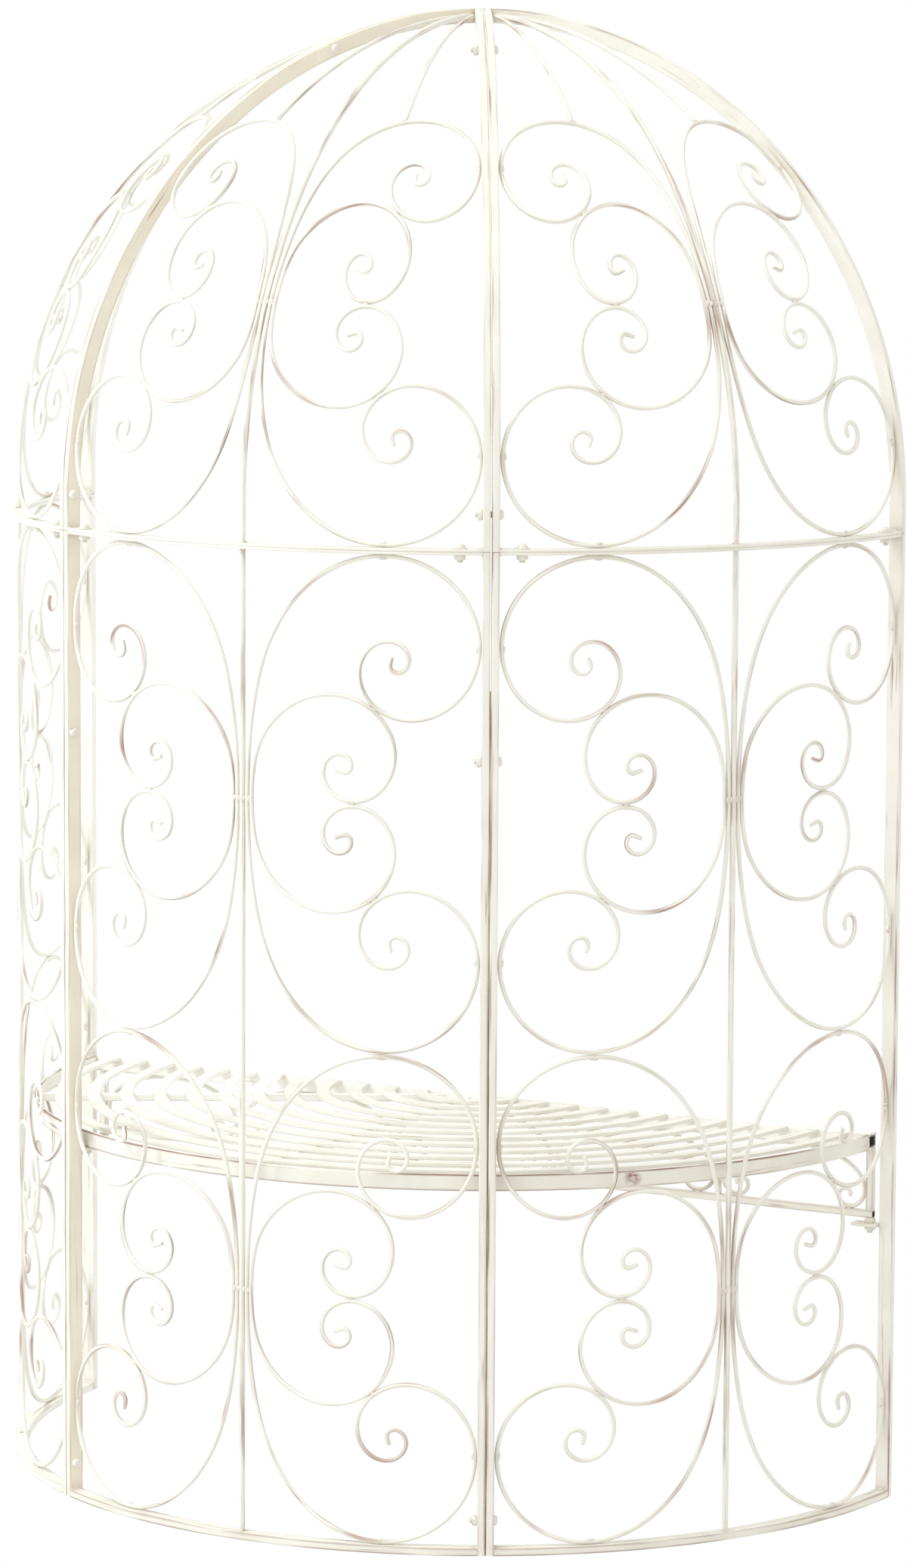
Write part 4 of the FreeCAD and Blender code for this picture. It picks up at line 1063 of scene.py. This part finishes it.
def rubbed_cream_enamel(name, cream, shade, primer, rubbed, edge_rub, weld_rub):
    """Cream enamel over brown primer: streaks along the steel, worn corners and burnt paint at the welds.

    Below a set height the streaks spread a little towards the feet, as painted shade that darkens the bottom.
    One blow has chipped the rim of the bench.
    """
    paint = bpy.data.materials.new(name)
    paint.use_nodes = True
    tree = paint.node_tree
    place = add(tree, "TexCoord", out="Object")
    straight = add(tree, "Attribute", out="Vector", attribute_name="straight")
    edge = add(tree, "Attribute", out="Fac", attribute_name="edge")
    weld = add(tree, "Attribute", out="Fac", attribute_name="weld")
    streak, chip, brush = (add(tree, "Mapping", {"Vector": straight, "Scale": [1 / size for size in sizes]})
                           for sizes in (STREAK, CHIP, BRUSH))

    lines = add(tree, "TexNoise", {"Vector": streak, "Scale": 1.0, "Detail": 2.0, "Roughness": 0.5})
    level = add(tree, "SeparateXYZ", {"Vector": place}, out="Z")
    # painted shade: more streaks low down darken the bottom
    low_shade = add(tree, "MapRange", {"Value": level, "From Max": LOW_SHADE_TOP, "To Min": LOW_SHADE, "To Max": 0.0})
    streaks_and_low_shade = add(tree, "Math", {0: lines, 1: low_shade}, operation="ADD")
    low, high = STREAK_CUT
    cut = add(tree, "MapRange", {"Value": streaks_and_low_shade, "From Min": low - rubbed, "From Max": high - rubbed})
    hand = add(tree, "TexNoise", {"Vector": place, "Scale": 1 / HANDLED, "Detail": 2.0})
    hand = add(tree, "MapRange", {"Value": hand, "From Min": HAND_CUT[0], "From Max": HAND_CUT[1]})
    rub = add(tree, "Math", {0: cut, 1: hand}, operation="MULTIPLY")
    low, high = CORNER_CUT
    worn = add(tree, "MapRange", {"Value": streaks_and_low_shade, "From Min": low - edge_rub, "From Max": high - edge_rub})
    worn = add(tree, "Math", {0: worn, 1: edge}, operation="MULTIPLY")

    chip = add(tree, "TexNoise", {"Vector": chip, "Scale": 1.0, "Detail": 3.0, "Roughness": 0.65})
    low, high = BURN_CUT
    burnt = add(tree, "MapRange", {"Value": chip, "From Min": low, "From Max": high, "To Max": weld_rub})
    burnt = add(tree, "Math", {0: burnt, 1: weld}, operation="MULTIPLY")
    blow = add(tree, "VectorMath", {0: place, 1: KNOCK}, out="Value", operation="DISTANCE")
    blow = add(tree, "MapRange", {"Value": blow, "From Min": KNOCK_SIZE, "From Max": 0.3 * KNOCK_SIZE})
    chipped = add(tree, "MapRange", {"Value": chip, "From Min": CHIP_CUT[0], "From Max": CHIP_CUT[1]})
    blow = add(tree, "Math", {0: blow, 1: chipped}, operation="MULTIPLY")
    bare = add(tree, "Math", {0: rub, 1: worn}, operation="MAXIMUM")
    bare = add(tree, "Math", {0: bare, 1: blow}, operation="MAXIMUM")
    bare = add(tree, "Math", {0: bare, 1: burnt}, operation="MAXIMUM", use_clamp=True)

    drift = add(tree, "TexNoise", {"Vector": place, "Scale": 1 / DRIFT, "Detail": 3.0})
    drift = add(tree, "MapRange", {"Value": drift, "From Min": DRIFT_CUT[0], "From Max": DRIFT_CUT[1]})
    coat = add(tree, "Mix", {0: drift, 6: linear(cream), 7: linear(shade)}, 2, data_type="RGBA")
    coat = add(tree, "Mix", {0: bare, 6: coat, 7: linear(primer)}, 2, data_type="RGBA")
    # the inside of an open tube end is unpainted steel, darkened also as painted shade of the recess
    hollow = add(tree, "MapRange", {"Value": edge, "From Min": HOLLOW_CUT[0], "From Max": HOLLOW_CUT[1]})
    coat = add(tree, "Mix", {0: hollow, 6: coat, 7: linear(BARE_STEEL_AND_RECESS_SHADE)}, 2, data_type="RGBA")
    gloss = add(tree, "MapRange", {"Value": bare, "To Min": GLOSS[0], "To Max": GLOSS[1]})
    brush = add(tree, "TexNoise", {"Vector": brush, "Scale": 1.0, "Detail": 3.0})
    depth = add(tree, "Math", {0: brush, 1: bare}, operation="SUBTRACT")
    bump = add(tree, "Bump", {"Height": depth, "Strength": RELIEF, "Distance": RELIEF_HEIGHT})
    shader = tree.nodes["Principled BSDF"].inputs
    for key, socket in (("Base Color", coat), ("Roughness", gloss), ("Normal", bump)):
        tree.links.new(socket, shader[key])
    shader["IOR"].default_value = ENAMEL_IOR
    return paint


print("streaks are about", round(STREAK[0] / MM), "mm long and", round(STREAK[1] / MM), "mm wide")

# %% [markdown]
# The same enamel is drawn in several ways: warmer on one bar at a seam as painted shade, whiter where the
# slats shade it as painted light, darker along the ground as painted shade, rubbed least on one panel as
# painted light where a side light washes it out, and mixed with rust and painted shade in the seams.
# Each finish is one row of colours and of how much was rubbed away. The last three numbers add to
# the rubbing along the steel and on its corners, and set how much paint is burnt at the welds.

# %% Finishes
FINISHES = {
    "bar_paint": ("rubbed_cream_enamel_on_bars", "#E7E4D9", "#E1DDD0", "#A08A7A", -0.02, 0.0, 0.45),
    # painted shade: a warmer cream on one bar stands in for the warm shade on its side face
    "warm_shade_paint": ("yellowed_cream_enamel_at_the_seam", "#ECE5D3", "#E6DECA", "#A08A7A", -0.02, 0.0, 0.45),
    "rod_paint": ("rubbed_cream_enamel_on_rods", "#E9E6DB", "#E0DDD0", "#A98F80", 0.115, 0.0, 0.45),
    # painted light: fewer rubbed streaks on the panel that the side light washes out
    "side_lit_rod_paint": ("lightly_rubbed_cream_enamel_on_rods", "#E9E6DB", "#E1DED1", "#A98F80", 0.07, 0.0, 0.4),
    "seat_paint": ("rubbed_cream_enamel_on_the_bench", "#E7E4D9", "#E1DDD0", "#8E6A58", -0.02, 0.09, 0.45),
    "slat_paint": ("rubbed_cream_enamel_on_slats", "#E9E6DB", "#E2DED1", "#97796A", -0.03, 0.06, 0.4),
    # painted light: whiter cream lifts the slats' shade on the front bar and spokes
    "painted_light_under_slats_paint": ("whiter_cream_enamel_under_the_slats", "#F2F0E8", "#ECE9DF", "#A08A7A", -0.04, 0.0, 0.3),
    # painted shade: a darker cream on the base hoops, together with their wear
    "ground_paint": ("splashed_cream_enamel_on_base_hoops", "#E4E0D4", "#DCD8CA", "#8E7565", 0.0, 0.08, 0.45),
    # painted shade and rust: dark browns for the wall seam's filling
    "seam_shade_and_rust": ("rust_and_old_paint_in_the_seam", "#CCBFAD", "#98836E", "#66513F", 0.1, 0.0, 0.3),
    "fastener_paint": ("rubbed_cream_enamel_on_bolts", "#E5E2D7", "#DCD7CA", "#8F7B6B", 0.02, 0.0, 0.3),
}
finishes = {key: rubbed_cream_enamel(*row) for key, row in FINISHES.items()}
for thing, _, finish in made:
    thing.data.materials.append(finishes[finish])
print("finishes", len(finishes), "on", len(made), "pieces")

# %% [markdown]
# The stage is a glowing white table that runs far back under an even white sky, as in a studio
# light tent: it throws no shadow and leaves only the steel to see. A grey floor would be closer to
# a workshop, but the photograph has no horizon.

# %% Floor
FLOOR_HALF, FLOOR_LINES = 60.0, 3       # half the sheet's width in metres, and lines of its grid each way


def stage_floor():
    """Square sheet z = 0 as a grid of two parameters, which glows white."""
    t = np.linspace(-FLOOR_HALF, FLOOR_HALF, FLOOR_LINES)
    x, y = np.meshgrid(t, t)
    points = np.stack((x, y, np.zeros_like(x)), -1).reshape(-1, 3)
    index = np.arange(x.size).reshape(x.shape)
    quads = np.stack((index[:-1, :-1], index[:-1, 1:], index[1:, 1:], index[1:, :-1]), -1).reshape(-1, 4)
    mesh = bpy.data.meshes.new("studio_floor")
    mesh.from_pydata(points, [], quads.tolist())
    floor = bpy.data.objects.new("studio_floor", mesh)
    bpy.context.scene.collection.objects.link(floor)
    white = bpy.data.materials.new("glowing_white_table")
    white.use_nodes = True
    sheet = white.node_tree.nodes["Principled BSDF"].inputs
    for key, value in (("Base Color", (0, 0, 0, 1)), ("Specular IOR Level", 0.0),
                       ("Emission Color", (1, 1, 1, 1)), ("Emission Strength", 1.0)):
        sheet[key].default_value = value
    mesh.materials.append(white)


stage_floor()
print("floor", 2 * FLOOR_HALF, "m wide")

# %% [markdown]
# A broad soft lamp from high on the left whitens the tops of the slats and gives the rods a lighter
# and a darker side. A tall soft box and a fill card whiten the panel at the far left, as the
# photograph's side light does. The even sky alone would leave every rod one flat tone.

# %% Light
SUN_WHITE, BOX_WHITE = (0.92, 0.97, 1.0), (0.75, 0.86, 1.0)


def lamp(name, kind, energy, colour, aim, place=(0, 0, 0)):
    """Lamp of a kind at a place, shining along the direction aim."""
    light = bpy.data.lights.new(name, kind)
    light.energy, light.color = energy, colour
    thing = bpy.data.objects.new(name, light)
    thing.location = place
    thing.rotation_euler = Vector(aim).to_track_quat("-Z", "Y").to_euler()
    bpy.context.scene.collection.objects.link(thing)
    return thing


def soft_lamp(name, energy, wide, tall, aim, place):
    """Rectangular lamp that the camera doesn't see."""
    thing = lamp(name, "AREA", energy, BOX_WHITE, aim, place)
    thing.data.shape = "RECTANGLE"
    thing.data.size, thing.data.size_y = wide, tall
    thing.visible_camera = False


world = bpy.data.worlds.new("white_studio")
bpy.context.scene.world = world
world.use_nodes = True
world.node_tree.nodes["Background"].inputs["Color"].default_value = (1, 1, 1, 1)
world.node_tree.nodes["Background"].inputs["Strength"].default_value = 1.0
lamp("soft_sun", "SUN", 1.5, SUN_WHITE, (-0.37, -0.506, -0.78)).data.angle = np.radians(25)
soft_lamp("soft_box", 6.0, 0.8, 1.8, aim=(-0.87, -1.04, -0.1), place=(0.97, 1.04, 1.2))
soft_lamp("fill_card", 1.2, 0.5, 1.9, aim=(0.94, 0.34, 0.0), place=(0.30, -0.30, 1.0))
bpy.context.scene.view_settings.view_transform = "Standard"
print("lamps", [light.name for light in bpy.data.lights])

# %% [markdown]
# The camera stands behind the gazebo, a little to one side, eight metres away with a long lens.
# Its place and angles come from matching the hoops, seams and crown of the photograph; turning
# them by 210 degrees brings them from the fitted frame, with the camera in front, to this one.

# %% Camera
FIT_TURN, PLAN_RADIUS = 210.0, 0.650    # from the fitted frame to this one: degrees, and metres per unit
YAW, PITCH_UP, ROLL = -0.0197, -0.1258, 0.0052          # fitted angles in radians
FIT_EYE = (-0.2995, -12.5327, 3.0267)   # fitted place, in plan radii
FOCAL_PIXELS, PHOTO_WIDE, SENSOR = 7769.75, 1200, 36.0  # focal length and width in pixels; sensor in mm
FAR = 200.0                             # metres to the end of the camera's sight


def camera_axes(yaw, pitch, roll):
    """Right, up and forward: yaw about the vertical, then pitch, then roll about the line of sight."""
    ahead = np.array((-np.sin(yaw), np.cos(yaw), 0))
    right = np.array((np.cos(yaw), np.sin(yaw), 0))
    forward = ahead * np.cos(pitch) + UP * np.sin(pitch)
    up = UP * np.cos(pitch) - ahead * np.sin(pitch)
    return right * np.cos(roll) + up * np.sin(roll), up * np.cos(roll) - right * np.sin(roll), forward


turn = spin(FIT_TURN)
right, up, forward = (turn @ v for v in camera_axes(YAW, PITCH_UP, ROLL))
eye = turn @ (np.array(FIT_EYE) * PLAN_RADIUS) + np.array((0, PLAN_SHIFT * MM, 0))
lens = bpy.data.cameras.new("camera")
lens.sensor_fit = "HORIZONTAL"
lens.sensor_width = SENSOR
lens.lens = FOCAL_PIXELS * SENSOR / PHOTO_WIDE
lens.clip_end = FAR
camera = bpy.data.objects.new("camera", lens)
camera.matrix_world = Matrix([[right[k], up[k], -forward[k], eye[k]] for k in range(3)] + [[0, 0, 0, 1]])
bpy.context.scene.collection.objects.link(camera)
bpy.context.scene.camera = camera
print("camera at", np.round(eye, 3).tolist(), "lens", round(lens.lens, 1))
